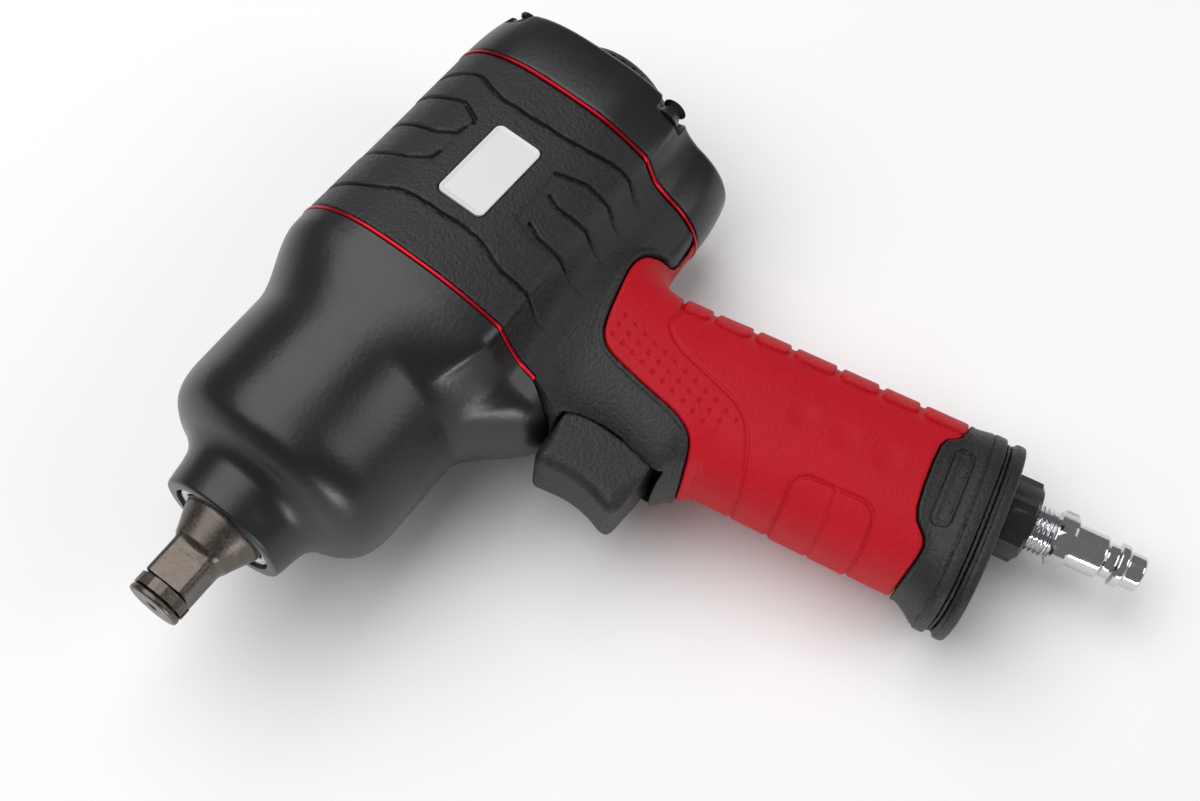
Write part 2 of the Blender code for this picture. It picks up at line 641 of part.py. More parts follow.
def build_motor_housing():
    """Barrel shell, neck and handle core in one moulding, bored for the motor and the throttle."""
    shares = (0.0, 0.33, 0.67, 1.0)
    rings = [barrel_ring(mixed(front_section(), rear_section(), share),
                         HOUSING_FRONT + (HOUSING_BACK - HOUSING_FRONT) * share) for share in shares]
    housing = add_solid("motor_housing", loft(rings), "black_moulding")
    neck = add_solid("join_neck", loft(neck_rings()))
    face = slab([(HOUSING_FRONT, -20), (HOUSING_FRONT, NECK_TOP), (CASE_BACK - GAP, NECK_TOP),
                 (CASE_BACK + CHIN_REACH - GAP, NECK_TOP - 11), (CASE_BACK + 60, NECK_TOP - 11),
                 (CASE_BACK + 60, -20)], -40, 40, lambda y, x, z: Vector((x, y, z)))
    below = grip_outline(GAP)[:12] + [(45, GRIP_END + 30), (-45, GRIP_END + 30)]
    cut(neck, add_solid("cut_neck_face", face))
    combine(housing, neck, "UNION")
    cut(housing, add_solid("cut_grip_seat", side_slab(below)))
    combine(housing, add_solid("join_core", loft([core_ring(CORE_TOP), core_ring(CORE_END)])), "UNION")

    bore = rod(HOUSING_FRONT + 1, HOUSING_BACK - 1, LINER_R + GAP, on_barrel(), 28)
    pocket = box((TRIGGER_POCKET_BACK, CASE_BACK + 12),
                 (-TRIGGER_HALF_WIDTH - RUN_GAP, TRIGGER_HALF_WIDTH + RUN_GAP),
                 (TRIGGER_BOTTOM - 0.8, TRIGGER_TOP + 0.7))
    valve_bore = rod(TRIGGER_POCKET_BACK + 1, VALVE_BORE_BACK, VALVE_BORE_R, on_barrel(0, STEM_Z), 20)
    feed = rod(STEM_Z + 3, -20, 3.4, lambda along, a, b: Vector((SEAT_FRONT + 4.6 + a, b, along)), 10)
    inlet = rod(70, CORE_END + 1, 6.2, on_handle(INLET_U), 16)
    cut(housing, *(add_solid(name, bm) for name, bm in (
        ("cut_motor_bore", bore), ("cut_trigger_pocket", pocket), ("cut_valve_bore", valve_bore),
        ("cut_feed_port", feed), ("cut_inlet_duct", inlet))))
    for side in (-1, 1):
        duct = rod(22, CORE_END + 1, 2.3, on_handle(6.0, side * 11.4), 8)
        cut(housing, add_solid(f"cut_exhaust_duct_{side}", duct))
    for number, (y, z) in enumerate(SCREW_PLACES):
        hole = rod(HOUSING_FRONT + 1, HOUSING_BACK - 1, SCREW_R + GAP, on_barrel(y, z), 8)
        cut(housing, add_solid(f"cut_housing_screw_{number}", hole))
    cut(housing, add_solid("cut_badge_seat", badge_slab(GAP, -BADGE_THICKNESS + BADGE_PROUD - GAP, 3)))

    grip = add_solid("rubber_grip", loft(neck_rings()[1:]), "red_rubber")
    combine(grip, add_solid("keep_grip", side_slab(grip_outline())), "INTERSECT")
    cut(grip, add_solid("cut_grip_core", loft([core_ring(CORE_TOP, GAP), core_ring(GRIP_END + 12, GAP)])))


def badge_slab(grow, low, high):
    """The badge plate's outline, square to the barrel's tapering side."""
    taper = math.atan2(FRONT_HALF_WIDTH - REAR_HALF_WIDTH, HOUSING_FRONT - HOUSING_BACK)
    share = (HOUSING_FRONT - BADGE_X) / (HOUSING_FRONT - HOUSING_BACK)
    surface = FRONT_HALF_WIDTH + (REAR_HALF_WIDTH - FRONT_HALF_WIDTH) * share
    outline = rounded_box_outline(BADGE_LENGTH / 2 + grow, BADGE_HEIGHT / 2 + grow, 2.0)

    def place(out, along, up):
        """Turn the plate to lie on the side."""
        return Vector((BADGE_X + along * math.cos(taper) - out * math.sin(taper),
                       surface + along * math.sin(taper) + out * math.cos(taper), BADGE_Z + up))
    return slab(outline, low, high, place)


def build_badge():
    """A thin blank plate let into the housing's left side."""
    add_solid("badge_plate", badge_slab(0.0, BADGE_PROUD - BADGE_THICKNESS, BADGE_PROUD), "badge_white")


def build_seal(name, section, front, hole_r, floor):
    """A red seal ring between two castings, with its screw holes; floor is its lowest z."""
    grown = [(y + SEAL_PROUD * y / math.hypot(y, z), z + SEAL_PROUD * z / math.hypot(y, z))
             for y, z in section]
    seal = add_solid(name, slab(grown, front, front - SEAL_THICKNESS, on_barrel()), "red_anodised")
    cut(seal, add_solid(f"cut_{name}", rod(front + 1, front - 3, hole_r, on_barrel(), 28)))
    cut(seal, add_solid(f"cut_{name}_foot", box((front - 3, front + 1), (-30, 30), (floor - 30, floor))))
    for number, (y, z) in enumerate(SCREW_PLACES):
        hole = rod(front + 1, front - 3, SCREW_R + GAP, on_barrel(y, z), 8)
        cut(seal, add_solid(f"cut_{name}_screw_{number}", hole))


# ---------------------------------------------------------------- rear cap, dial and screws

def build_rear_cap():
    """The cap behind the motor with four screw pockets and the bore of the dial's spool."""
    stations = [(CAP_FRONT, 1.0), (CAP_FRONT - 9, 0.99), (CAP_BACK + 4.5, CAP_TAPER + 0.025),
                (CAP_BACK + 1.2, CAP_TAPER), (CAP_BACK, CAP_TAPER - 0.035)]
    rings = [barrel_ring(rear_section(scale), x) for x, scale in stations]
    cap = add_solid("rear_cap", loft(rings), "black_paint")
    boss_end = LINER_BACK - GAP - PLATE_THICKNESS - 5.8
    room = turned([(CAP_FRONT + 1, 0), (CAP_FRONT + 1, BEARING_OUTER_R + 3.0),
                   (boss_end - 1.2, BEARING_OUTER_R + 3.0), (boss_end - 1.2, SPOOL_R + RUN_GAP),
                   (CAP_BACK - 1, SPOOL_R + RUN_GAP), (CAP_BACK - 1, 0)], on_barrel(), 28)
    cut(cap, add_solid("cut_cap_room", room))
    for number, (y, z) in enumerate(SCREW_PLACES):
        hole = turned([(CAP_FRONT + 1, 0), (CAP_FRONT + 1, SCREW_R + GAP), (SCREW_SEAT, SCREW_R + GAP),
                       (SCREW_SEAT, SCREW_HEAD_R + 0.6), (CAP_BACK - 1, SCREW_HEAD_R + 0.6),
                       (CAP_BACK - 1, 0)], on_barrel(y, z), 8)
        cut(cap, add_solid(f"cut_cap_screw_{number}", hole))


def build_case_screws():
    """Four long socket-head screws that clamp cap, housing and hammer case together."""
    seat = SCREW_SEAT - GAP
    head = seat - SCREW_HEAD_HEIGHT
    profile = [(SCREW_FRONT, 0), (SCREW_FRONT, SCREW_R), (seat, SCREW_R), (seat, SCREW_HEAD_R),
               (head + 0.5, SCREW_HEAD_R), (head, SCREW_HEAD_R - 0.5), (head, 0)]
    for number, (y, z) in enumerate(SCREW_PLACES):
        screw = add_solid(f"case_screw_{number + 1}", turned(profile, on_barrel(y, z), 8), "dark_steel")
        key = turned([(head + 2.5, 0), (head + 2.5, SCREW_SOCKET_AF / math.sqrt(3)),
                      (head - 1, SCREW_SOCKET_AF / math.sqrt(3)), (head - 1, 0)], on_barrel(y, z), 6)
        cut(screw, add_solid(f"cut_screw_key_{number}", key))


def build_dial():
    """The round dial at the back, its spool, the spool's seal and the screw that holds the dial."""
    front = CAP_BACK - DIAL_GAP
    back = front - DIAL_HEIGHT
    profile = [(front, 4.4), (front, DIAL_R), (back + 1.6, DIAL_R), (back, DIAL_R - 1.6), (back, 4.6),
               (back + 3.2, 4.6), (back + 3.2, 2.5), (front - 3.5, 2.5), (front - 3.5, 4.4)]
    add_solid("dial", turned(profile, on_barrel(), 24), "black_moulding", DIAL_AXIS)
    spool_front = LINER_BACK - GAP - PLATE_THICKNESS - 5.8 - 1.6
    groove = CAP_BACK + 5.0
    neck_r = 4.0
    spool = [(spool_front, 0), (spool_front, SPOOL_R), (groove + 1.2, SPOOL_R), (groove + 1.2, SPOOL_R - 1.6),
             (groove - 1.2, SPOOL_R - 1.6), (groove - 1.2, SPOOL_R), (CAP_BACK + 0.2, SPOOL_R),
             (CAP_BACK + 0.2, neck_r), (front - 3.2, neck_r), (front - 3.2, 2.4), (front + 6, 2.4),
             (front + 6, 0)]
    add_solid("dial_spool", turned(spool, on_barrel(), 20), "bright_steel", DIAL_AXIS)
    cord = [(groove + 0.65 * math.cos(a), SPOOL_R - 0.75 + 0.6 * math.sin(a))
            for a in (k * math.pi / 3 for k in range(6))]
    add_solid("dial_seal", turned(cord, on_barrel(), 20), "black_rubber", DIAL_AXIS)
    screw = [(front + 5.5, 0), (front + 5.5, 2.0), (back + 2.9, 2.0), (back + 2.9, 4.2), (back + 1.0, 4.2),
             (back + 0.6, 3.8), (back + 0.6, 1.5), (back + 1.8, 1.5), (back + 1.8, 0)]
    add_solid("dial_screw", turned(screw, on_barrel(), 12), "bright_steel", DIAL_AXIS)


# ---------------------------------------------------------------- trigger and throttle

def build_trigger():
    """The sliding trigger and its stem."""
    reach = [(13.5, TRIGGER_TOP), (17.1, TRIGGER_TOP - 0.9), (18.3, TRIGGER_TOP - 2.6),
             (16.9, TRIGGER_TOP - 8.1), (16.1, TRIGGER_TOP - 13.1), (16.3, TRIGGER_TOP - 18.6),
             (17.3, TRIGGER_TOP - 23.8), (18.0, TRIGGER_BOTTOM + 2.4), (17.2, TRIGGER_BOTTOM + 0.6),
             (15.2, TRIGGER_BOTTOM), (0.0, TRIGGER_BOTTOM), (0.0, TRIGGER_TOP)]
    outline = [(TRIGGER_BACK + ahead, z) for ahead, z in reach]
    body = slab(outline, -TRIGGER_HALF_WIDTH, TRIGGER_HALF_WIDTH, lambda y, x, z: Vector((x, y, z)))
    trigger = add_solid("trigger", body, "black_moulding", TRIGGER_AXIS)
    round_over = trigger.modifiers.new("round_over", "BEVEL")
    round_over.width = 1.4 * MM
    round_over.segments = 2
    round_over.limit_method = "ANGLE"
    round_over.angle_limit = math.radians(50)
    stem_front = TRIGGER_BACK + 5.0
    hole = rod(stem_front + GAP, TRIGGER_BACK - 2, STEM_R + GAP, on_barrel(0, STEM_Z), 12)
    cut(trigger, add_solid("cut_stem_socket", hole))
    stem = rod(stem_front, STEM_BACK, STEM_R, on_barrel(0, STEM_Z), 12)
    add_solid("trigger_stem", stem, "bright_steel", TRIGGER_AXIS)


def build_throttle():
    """The stem's bush, the valve seat, the poppet that the stem pushes and its return spring."""
    bush_front = TRIGGER_POCKET_BACK - 0.8
    add_solid("stem_bush", tube(bush_front, bush_front - 8.5, VALVE_BORE_R - GAP, STEM_R + RUN_GAP,
                                on_barrel(0, STEM_Z), 20), "bronze")
    add_solid("valve_seat", tube(SEAT_FRONT, SEAT_FRONT - SEAT_THICKNESS, VALVE_BORE_R - GAP, 4.0,
                                 on_barrel(0, STEM_Z), 20), "bronze")
    front = SEAT_FRONT - SEAT_THICKNESS - GAP
    back = front - POPPET_LENGTH
    poppet = [(front, 0), (front, 2.6), (front - 0.2, POPPET_R), (back, POPPET_R), (back, 0)]
    add_solid("valve_poppet", turned(poppet, on_barrel(0, STEM_Z), 16), "bright_steel", TRIGGER_AXIS)
    spring_front = back - GAP - SPRING_WIRE / 2
    spring_back = VALVE_BORE_BACK + GAP + SPRING_WIRE / 2
    steps = 8 * SPRING_TURNS
    rings = []
    for k in range(steps + 1):
        angle = 2 * math.pi * k / 8
        along = spring_front + (spring_back - spring_front) * k / steps
        out = Vector((0, math.cos(angle), math.sin(angle)))
        centre = Vector((along, 0, STEM_Z)) + out * SPRING_R
        wire = SPRING_WIRE / 2
        rings.append([centre + out * wire * math.cos(a) + Vector((1, 0, 0)) * wire * math.sin(a)
                      for a in (math.pi / 2 * j for j in range(4))])
    add_solid("throttle_spring", loft(rings), "bright_steel")


# ---------------------------------------------------------------- handle base and air inlet

def base_rings(top):
    """The base's outside from the grip down to its lower edge."""
    stations = [(top, GRIP_FRONT_LOW, GRIP_BACK, GRIP_HALF_WIDTH),
                (GRIP_END, GRIP_FRONT_LOW + 0.2, GRIP_BACK, GRIP_HALF_WIDTH),
                (GRIP_END + 4, BASE_TOE - 3.0, GRIP_BACK + 0.5, BASE_HALF_WIDTH - 1.0),
                (BASE_END - 3, BASE_TOE, GRIP_BACK + 0.9, BASE_HALF_WIDTH),
                (BASE_END, BASE_TOE, GRIP_BACK + 0.9, BASE_HALF_WIDTH)]
    return [handle_ring(*station) for station in stations]


def build_base():
    """The handle's foot with its silencer, gasket and exhaust deflector."""
    base = add_solid("handle_base", loft(base_rings(CORE_END + GAP)), "black_moulding")
    above = [(-45, CORE_END - 20)] + [(u, w + GAP) for u, w in reversed(grip_outline()[12:])]
    above.append((45, CORE_END - 20))
    cut(base, add_solid("cut_base_top", side_slab(above)))
    spigot = [core_ring(CORE_END + GAP), core_ring(GRIP_END + 4)]
    combine(base, add_solid("join_base_spigot", loft(spigot)), "UNION")
    inlet_hole = rod(CORE_END - 2, DEFLECTOR_END + 2, INLET_SHANK_R + GAP, on_handle(INLET_U), 20)
    chamber_outline = rounded_box_outline(CHAMBER_HALF_U, CHAMBER_HALF_Y, 4.0, (CHAMBER_U, 0.0))
    chamber = slab(chamber_outline, GRIP_END, DEFLECTOR_END - 2.2, lambda w, u, y: handle_point(u, y, w))
    inlet_cut = add_solid("cut_base_inlet", inlet_hole)
    chamber_cut = add_solid("cut_base_chamber", chamber)
    cut(base, inlet_cut, chamber_cut)
    for side in (-1, 1):
        duct = rod(CORE_END - 2, GRIP_END + 2, 2.3, on_handle(6.0, side * 11.4), 8)
        cut(base, add_solid(f"cut_base_duct_{side}", duct))
        label = rounded_box_outline(12.8, 2.4, 2.3, (2.2, GRIP_END + 1.2))
        depth = (side * (GRIP_HALF_WIDTH - 0.5), side * (BASE_HALF_WIDTH + 4))
        seat = slab(label, min(depth), max(depth), lambda y, u, w: handle_point(u, y, w))
        cut(base, add_solid(f"cut_base_label_{side}", seat))

    ring = handle_ring(BASE_END + GAP, BASE_TOE - 1.2, GRIP_BACK - 0.4, BASE_HALF_WIDTH - 1.2)
    step = handle_point(0, 0, 1.0) - handle_point(0, 0, 0)
    gasket = add_solid("base_gasket", loft([ring, [point + step for point in ring]]), "black_rubber")
    cut(gasket, inlet_cut, chamber_cut)
    top = BASE_END + 2 * GAP + 1.0
    stations = [(top, BASE_TOE - 1.0, GRIP_BACK - 0.3, BASE_HALF_WIDTH - 0.8),
                (top + 1.6, BASE_TOE, GRIP_BACK + 0.3, BASE_HALF_WIDTH - 0.2),
                (DEFLECTOR_END - 0.8, BASE_TOE, GRIP_BACK + 0.3, BASE_HALF_WIDTH - 0.2),
                (DEFLECTOR_END, BASE_TOE - 0.9, GRIP_BACK - 0.6, BASE_HALF_WIDTH - 1.1)]
    deflector = add_solid("exhaust_deflector", loft([handle_ring(*s) for s in stations]),
                          "black_moulding")
    cut(deflector, inlet_cut, chamber_cut)
    for k in range(5):
        slit = rounded_box_outline(CHAMBER_HALF_U - 1.2, 1.3, 1.2, (CHAMBER_U, (k - 2) * 4.8), 2)
        slit_cut = slab(slit, DEFLECTOR_END - 4, DEFLECTOR_END + 1, lambda w, u, y: handle_point(u, y, w))
        cut(deflector, add_solid(f"cut_slit_{k + 1}", slit_cut))
    pad = rounded_box_outline(CHAMBER_HALF_U - 0.6, CHAMBER_HALF_Y - 0.6, 3.4, (CHAMBER_U, 0.0))
    add_solid("silencer_pad", slab(pad, GRIP_END + 2.5, DEFLECTOR_END - 2.6,
                                   lambda w, u, y: handle_point(u, y, w)), "grey_felt")


def build_inlet():
    """The inlet bushing, its strainer and the quick-connect air plug."""
    place = on_handle(INLET_U)
    hex_top = DEFLECTOR_END + GAP
    shank = [(INLET_TOP, 0), (INLET_TOP, INLET_SHANK_R - 0.5), (INLET_TOP + 0.5, INLET_SHANK_R),
             (hex_top + 1, INLET_SHANK_R), (hex_top + 1, 0)]
    bushing = add_solid("inlet_bushing", turned(shank, place, 20), "black_paint")
    combine(bushing, add_solid("join_inlet_hex", hexagon(hex_top, INLET_HEX_END, INLET_HEX_AF, place)),
            "UNION")
    thread_r = PLUG_THREAD_R + RUN_GAP
    bore = [(INLET_TOP - 1, 0), (INLET_TOP - 1, 4.9), (hex_top + 1.2, 4.9), (hex_top + 1.2, thread_r),
            (INLET_HEX_END + 1, thread_r), (INLET_HEX_END + 1, 0)]
    cut(bushing, add_solid("cut_bushing_bore", turned(bore, place, 20)))
    cup = [(INLET_TOP + 1.0, 0), (INLET_TOP + 1.0, 4.5), (INLET_TOP + 14, 4.5), (INLET_TOP + 14, 3.8),
           (INLET_TOP + 1.7, 3.8), (INLET_TOP + 1.7, 0)]
    add_solid("inlet_strainer", turned(cup, place, 12), "bronze")

    hex_start = PLUG_END - 25.2
    cylinder_end = hex_start + 13.7
    outside = [(hex_top + 1.6, 0), (hex_top + 1.6, PLUG_THREAD_R - 0.5), (hex_top + 2.1, PLUG_THREAD_R),
               (hex_start - 0.6, PLUG_THREAD_R), (hex_start - 0.3, PLUG_THREAD_R - 0.9),
               (hex_start + 1, PLUG_THREAD_R - 0.9), (hex_start + 3, 6.0), (cylinder_end, 6.0),
               (cylinder_end + 0.7, 4.8), (cylinder_end + 3.6, 4.8), (cylinder_end + 3.9, 6.0),
               (cylinder_end + 6.2, 6.0), (cylinder_end + 6.5, 5.0), (PLUG_END - 0.4, 5.0),
               (PLUG_END, 4.6), (PLUG_END, 0)]
    plug = add_solid("air_plug", turned(outside, place, 16), "chrome")
    combine(plug, add_solid("join_plug_hex", hexagon(hex_start, hex_start + 4.9, PLUG_HEX_AF, place)),
            "UNION")
    cut(plug, add_solid("cut_plug_bore", rod(hex_top, PLUG_END + 1, PLUG_BORE_R, place, 16)))


# ---------------------------------------------------------------- laying the tool down

def touching_points():
    """Where the tool's right side touches the surface: both seals and the handle base."""
    points = []
    for section, back in ((front_section(), FRONT_SEAL_X), (rear_section(), REAR_SEAL_X)):
        y, z = section[SIDE_EDGE]
        points.append(Vector((back - SEAL_THICKNESS, -y - SEAL_PROUD, z)))
    points.append(handle_point(0, -BASE_HALF_WIDTH, BASE_END))
    return points


def lay_down():
    """Turn the tool on its right side so that it lies on its three touching points."""
    front, rear, base = touching_points()
    up = (rear - front).cross(base - front).normalized()
    if up.y < 0:
        up.negate()
    forward = Vector((1, 0, 0))
    forward = (forward - up * forward.dot(up)).normalized()
    TOOL.matrix_world = Matrix((-forward, up.cross(-forward), up)).to_4x4()
    bpy.context.view_layer.update()
    depsgraph = bpy.context.evaluated_depsgraph_get()
    corners = []
    for thing in bpy.data.objects:
        if thing.type == "MESH" and not thing.hide_render:
            evaluated = thing.evaluated_get(depsgraph)
            corners += [evaluated.matrix_world @ vertex.co for vertex in evaluated.data.vertices]
    low = Vector(min(c[i] for c in corners) for i in range(3))
    high = Vector(max(c[i] for c in corners) for i in range(3))
    TOOL.location = (-(low.x + high.x) / 2, -(low.y + high.y) / 2, -low.z)


clear_scene()
TOOL = add_empty("tool_frame")
ANVIL_AXIS = add_empty("anvil_axis", TOOL)
ROTOR_AXIS = add_empty("rotor_axis", TOOL, (CAGE_BACK, 0, 0))
HAMMER_FRONT_AXIS = add_empty("hammer_front_axis", TOOL, (CAGE_FRONT, 0, PIN_CIRCLE_R))
HAMMER_REAR_AXIS = add_empty("hammer_rear_axis", TOOL, (CAGE_FRONT, 0, -PIN_CIRCLE_R))
DIAL_AXIS = add_empty("dial_axis", TOOL, (CAP_BACK, 0, 0))
TRIGGER_AXIS = add_empty("trigger_axis", TOOL, (TRIGGER_BACK, 0, STEM_Z))

build_hammer_case()
build_anvil()
build_hammers()
build_motor()
build_seal("front_seal", front_section(), FRONT_SEAL_X, CAVITY_R + 0.6, NECK_TOP + GAP)
build_motor_housing()
build_badge()
build_seal("rear_seal", rear_section(), REAR_SEAL_X, LINER_R + 0.6, -60)
build_rear_cap()
build_case_screws()
build_dial()
build_trigger()
build_throttle()
build_base()
build_inlet()
lay_down()
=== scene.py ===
"""Half-inch air impact wrench lying on its side: fine skins, finishes, stage and camera.

Every skin is drawn in millimetres in the tool's own frame, where x runs forward along the barrel
to the square drive, y to the tool's left side and z up, away from the handle. The handle has a
frame of its own: w runs down the leaning handle and u forward across it.
"""

import json
import math

import bmesh
import bpy
import numpy as np
from bpy.props import FloatProperty, FloatVectorProperty, PointerProperty
from mathutils import Matrix, Vector


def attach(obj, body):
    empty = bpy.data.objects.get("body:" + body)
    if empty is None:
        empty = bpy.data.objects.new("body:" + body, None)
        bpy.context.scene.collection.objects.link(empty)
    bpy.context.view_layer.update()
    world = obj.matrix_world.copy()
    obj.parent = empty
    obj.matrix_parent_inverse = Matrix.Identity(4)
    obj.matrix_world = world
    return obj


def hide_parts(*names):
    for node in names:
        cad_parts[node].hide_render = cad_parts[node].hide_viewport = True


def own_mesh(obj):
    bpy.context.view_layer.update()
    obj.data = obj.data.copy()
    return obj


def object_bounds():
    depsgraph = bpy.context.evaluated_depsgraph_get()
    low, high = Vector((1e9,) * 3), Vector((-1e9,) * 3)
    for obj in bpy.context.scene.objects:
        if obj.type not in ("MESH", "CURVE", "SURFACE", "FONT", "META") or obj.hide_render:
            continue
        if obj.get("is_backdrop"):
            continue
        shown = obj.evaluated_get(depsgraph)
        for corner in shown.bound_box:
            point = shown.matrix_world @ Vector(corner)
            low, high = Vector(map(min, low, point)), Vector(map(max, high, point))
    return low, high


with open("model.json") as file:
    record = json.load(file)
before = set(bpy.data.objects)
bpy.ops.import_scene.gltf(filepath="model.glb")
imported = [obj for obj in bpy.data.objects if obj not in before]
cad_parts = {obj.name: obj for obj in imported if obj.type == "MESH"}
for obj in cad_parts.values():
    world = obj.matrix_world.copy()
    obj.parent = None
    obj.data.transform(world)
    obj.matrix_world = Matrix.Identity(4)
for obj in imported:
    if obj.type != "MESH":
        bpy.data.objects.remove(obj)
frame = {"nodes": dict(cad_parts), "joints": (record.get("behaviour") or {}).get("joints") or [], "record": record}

bl_info = {
    "name": "Air impact wrench",
    "version": (1, 0, 0),
    "blender": (4, 5, 0),
    "location": "View3D > Sidebar > Wrench",
    "description": "Builds the outer skins, finishes and stage of an air impact wrench",
    "category": "Object",
}

MM = 0.001
GAP = 0.3
JOINTS = {joint["name"]: joint for joint in frame["joints"]}
MOUNTS = {mount["name"]: mount for mount in frame["record"]["mounts"]}


# ---------------------------------------------------------------- the tool's frame

def tool_matrix():
    """The tool's frame, in millimetres, seen from the row frame, in metres."""
    forward = Vector(JOINTS["anvil_spin"]["axis"]).normalized()
    up = forward.cross(Vector(MOUNTS["drive_flat"]["axis"])).normalized()
    side = up.cross(forward)
    turn = Matrix((forward, side, up)).transposed().to_4x4()
    return Matrix.Translation(JOINTS["anvil_spin"]["pos_m"]) @ turn @ Matrix.Scale(MM, 4)


TOOL = tool_matrix()


def node_points(node):
    """A CAD node's vertices in the tool's frame, in millimetres."""
    back = np.array(TOOL.inverted())
    points = np.array([vertex.co for vertex in frame["nodes"][node].data.vertices])
    return points @ back[:3, :3].T + back[:3, 3]


def span(node):
    """Lowest and highest corner of a CAD node in the tool's frame, in millimetres."""
    points = node_points(node)
    return points.min(0), points.max(0)


# Stations along the barrel, read from the frame
CASE_LOW, CASE_HIGH = span("hammer_case")
FRONT_SEAL_LOW, FRONT_SEAL_HIGH = span("front_seal")
REAR_SEAL_LOW, REAR_SEAL_HIGH = span("rear_seal")
CAP_LOW, CAP_HIGH = span("rear_cap")
DIAL_LOW, DIAL_HIGH = span("dial")
TRIGGER_LOW, TRIGGER_HIGH = span("trigger")
NOSE_X = CASE_HIGH[0]
CASE_BACK = CASE_LOW[0]
HOUSING_FRONT = FRONT_SEAL_LOW[0] - GAP
HOUSING_BACK = REAR_SEAL_HIGH[0] + GAP
CAP_FRONT = REAR_SEAL_LOW[0] - GAP
CAP_BACK = CAP_LOW[0]

# Hammer case
NOSE_R = 18.5
NOSE_BORE_R = 15.1
CASE_R = 33.8
CASE_CAVITY_R = 29.2
CASE_SHOULDER_X = -49.5
NOSE_STEP_X = -46.3
NECK_TOP = -41.0
CHIN_DEPTH = 11.0
CHIN_REACH = 5.4
FLARE_LENGTH = 25.0

# Barrel sections: half width, height, then the points round the valley and the lower lobe
SEAL_PROUD = 0.25
SEAL_ROUND = 0.22
FRONT_HALF_WIDTH = FRONT_SEAL_HIGH[1] - SEAL_PROUD
FRONT_TOP = FRONT_SEAL_HIGH[2] - SEAL_PROUD
FRONT_LOBE = ((33.4, -27.5), (30.2, -30.3), (25.5, -33.0), (21.3, -36.2), (19.0, -39.5),
              (16.6, -43.4), (12.2, -47.3), (6.4, -49.7), (0.0, -50.4))
REAR_HALF_WIDTH = REAR_SEAL_HIGH[1] - SEAL_PROUD
REAR_TOP = REAR_SEAL_HIGH[2] - SEAL_PROUD
REAR_LOBE = ((28.2, -25.6), (25.2, -28.2), (20.6, -30.7), (17.3, -34.4), (15.2, -38.5),
             (12.6, -42.2), (8.8, -45.3), (4.4, -47.2), (0.0, -47.8))
SECTION_POWER = 2.7
SIDE_END = 103                # degrees from the top where the plain side ends
MOTOR_BORE_R = 27.8
CAP_TAPER = 0.06
CAP_FLOOR = -181.2
CAP_ROOM_R = 14
SCREW_PLACES = ((20.5, 27.0), (-20.5, 27.0), (24.5, -22.8), (-24.5, -22.8))
SCREW_SEAT = -184.6
SCREW_HEAD_R = 4.2
SCREW_POCKET_R = 5.2
SCREW_HEAD_HEIGHT = 5.0
SPOOL_R = 8.2

# Handle
INLET_U = -7.8
RUBBER = 3.4
GRIP_END = 146.0
CORE_TOP = 42.0
CORE_END = 139.5
BASE_END = 156.5
DEFLECTOR_END = 162.0
HANDLE_POWER = 2.5
# w, front, back and half width of the handle's section
HANDLE_STATIONS = ((20, 31, 38, 17.5), (36, 28.5, 35, 18.6), (46, 27.0, 31, 19.0),
                   (53, 25.8, 27.2, 19.0), (61, 26.2, 24.6, 19.0), (69, 29.2, 24.4, 19.0),
                   (75.5, 31.4, 24.4, 19.0), (78.5, 29.8, 24.4, 19.0), (81.5, 27.2, 24.4, 19.0),
                   (85, 25.0, 24.4, 19.0), (89, 24.0, 24.4, 19.0), (115, 24.9, 24.4, 19.0),
                   (147, 25.8, 24.4, 19.0), (170, 25.8, 24.4, 19.0))
GRIP_LOW_EDGE = ((45, GRIP_END - 3.4), (27, GRIP_END - 1.5), (19, GRIP_END),
                 (15.5, GRIP_END - 1.0), (9.4, GRIP_END - 5.4), (-9.9, GRIP_END - 5.8),
                 (-15, GRIP_END - 1.5), (-24, GRIP_END + 0.2), (-45, GRIP_END + 0.5))

# Screws and dial
SCREW_FRONT = -94.5
DIAL_FLUTES = 30

# Camera, in the tool's frame: place in millimetres and three directions
CAMERA_PLACE = (62.19, 435.35, -142.55)
CAMERA_LOOK = (-0.37282, -0.90940, 0.18441)
CAMERA_RIGHT = (-0.59529, 0.08196, -0.79932)
CAMERA_DOWN = (0.71179, -0.40778, -0.57190)

# Trigger
TRIGGER_HALF_WIDTH = TRIGGER_HIGH[1]
STEM_Z = -64.0
VALVE_BACK = -147
VALVE_BORE_R = 8.4
DUCT_TOP = 70
DUCT_R = 6.2


def handle_lean():
    """The handle's lean, from the direction that the air plug points in."""
    back = TOOL.inverted().to_3x3()
    down = (back @ Vector(MOUNTS["air_inlet"]["axis"])).normalized()
    return math.atan2(-down.x, -down.z)


def handle_foot(lean):
    """Where the handle's axis meets the barrel's axis, from the air plug's own axis."""
    low, high = span("air_plug")
    plug_x = (low[0] + high[0]) / 2
    plug_z = (low[2] + high[2]) / 2
    return plug_x - (INLET_U + math.sin(lean) * plug_z) / math.cos(lean)


LEAN = handle_lean()
HANDLE_X = handle_foot(LEAN)


def to_handle(x, z):
    """Handle coordinates (w, u) of points of the tool's frame."""
    along = x - HANDLE_X
    w = -along * math.sin(LEAN) - z * math.cos(LEAN)
    return w, along * math.cos(LEAN) - z * math.sin(LEAN)


def handle_point(w, u, y):
    """Tool coordinates of points given in the handle's frame, one row for each."""
    x = HANDLE_X - math.sin(LEAN) * w + math.cos(LEAN) * u
    z = -math.cos(LEAN) * w - math.sin(LEAN) * u
    return np.stack(np.broadcast_arrays(x, y, z), -1)


def on_barrel(y=0.0, z=0.0):
    """Place (along, a, b) along the barrel, shifted to y and z."""
    return lambda along, a, b: np.stack(np.broadcast_arrays(along, y + a, z + b), -1)


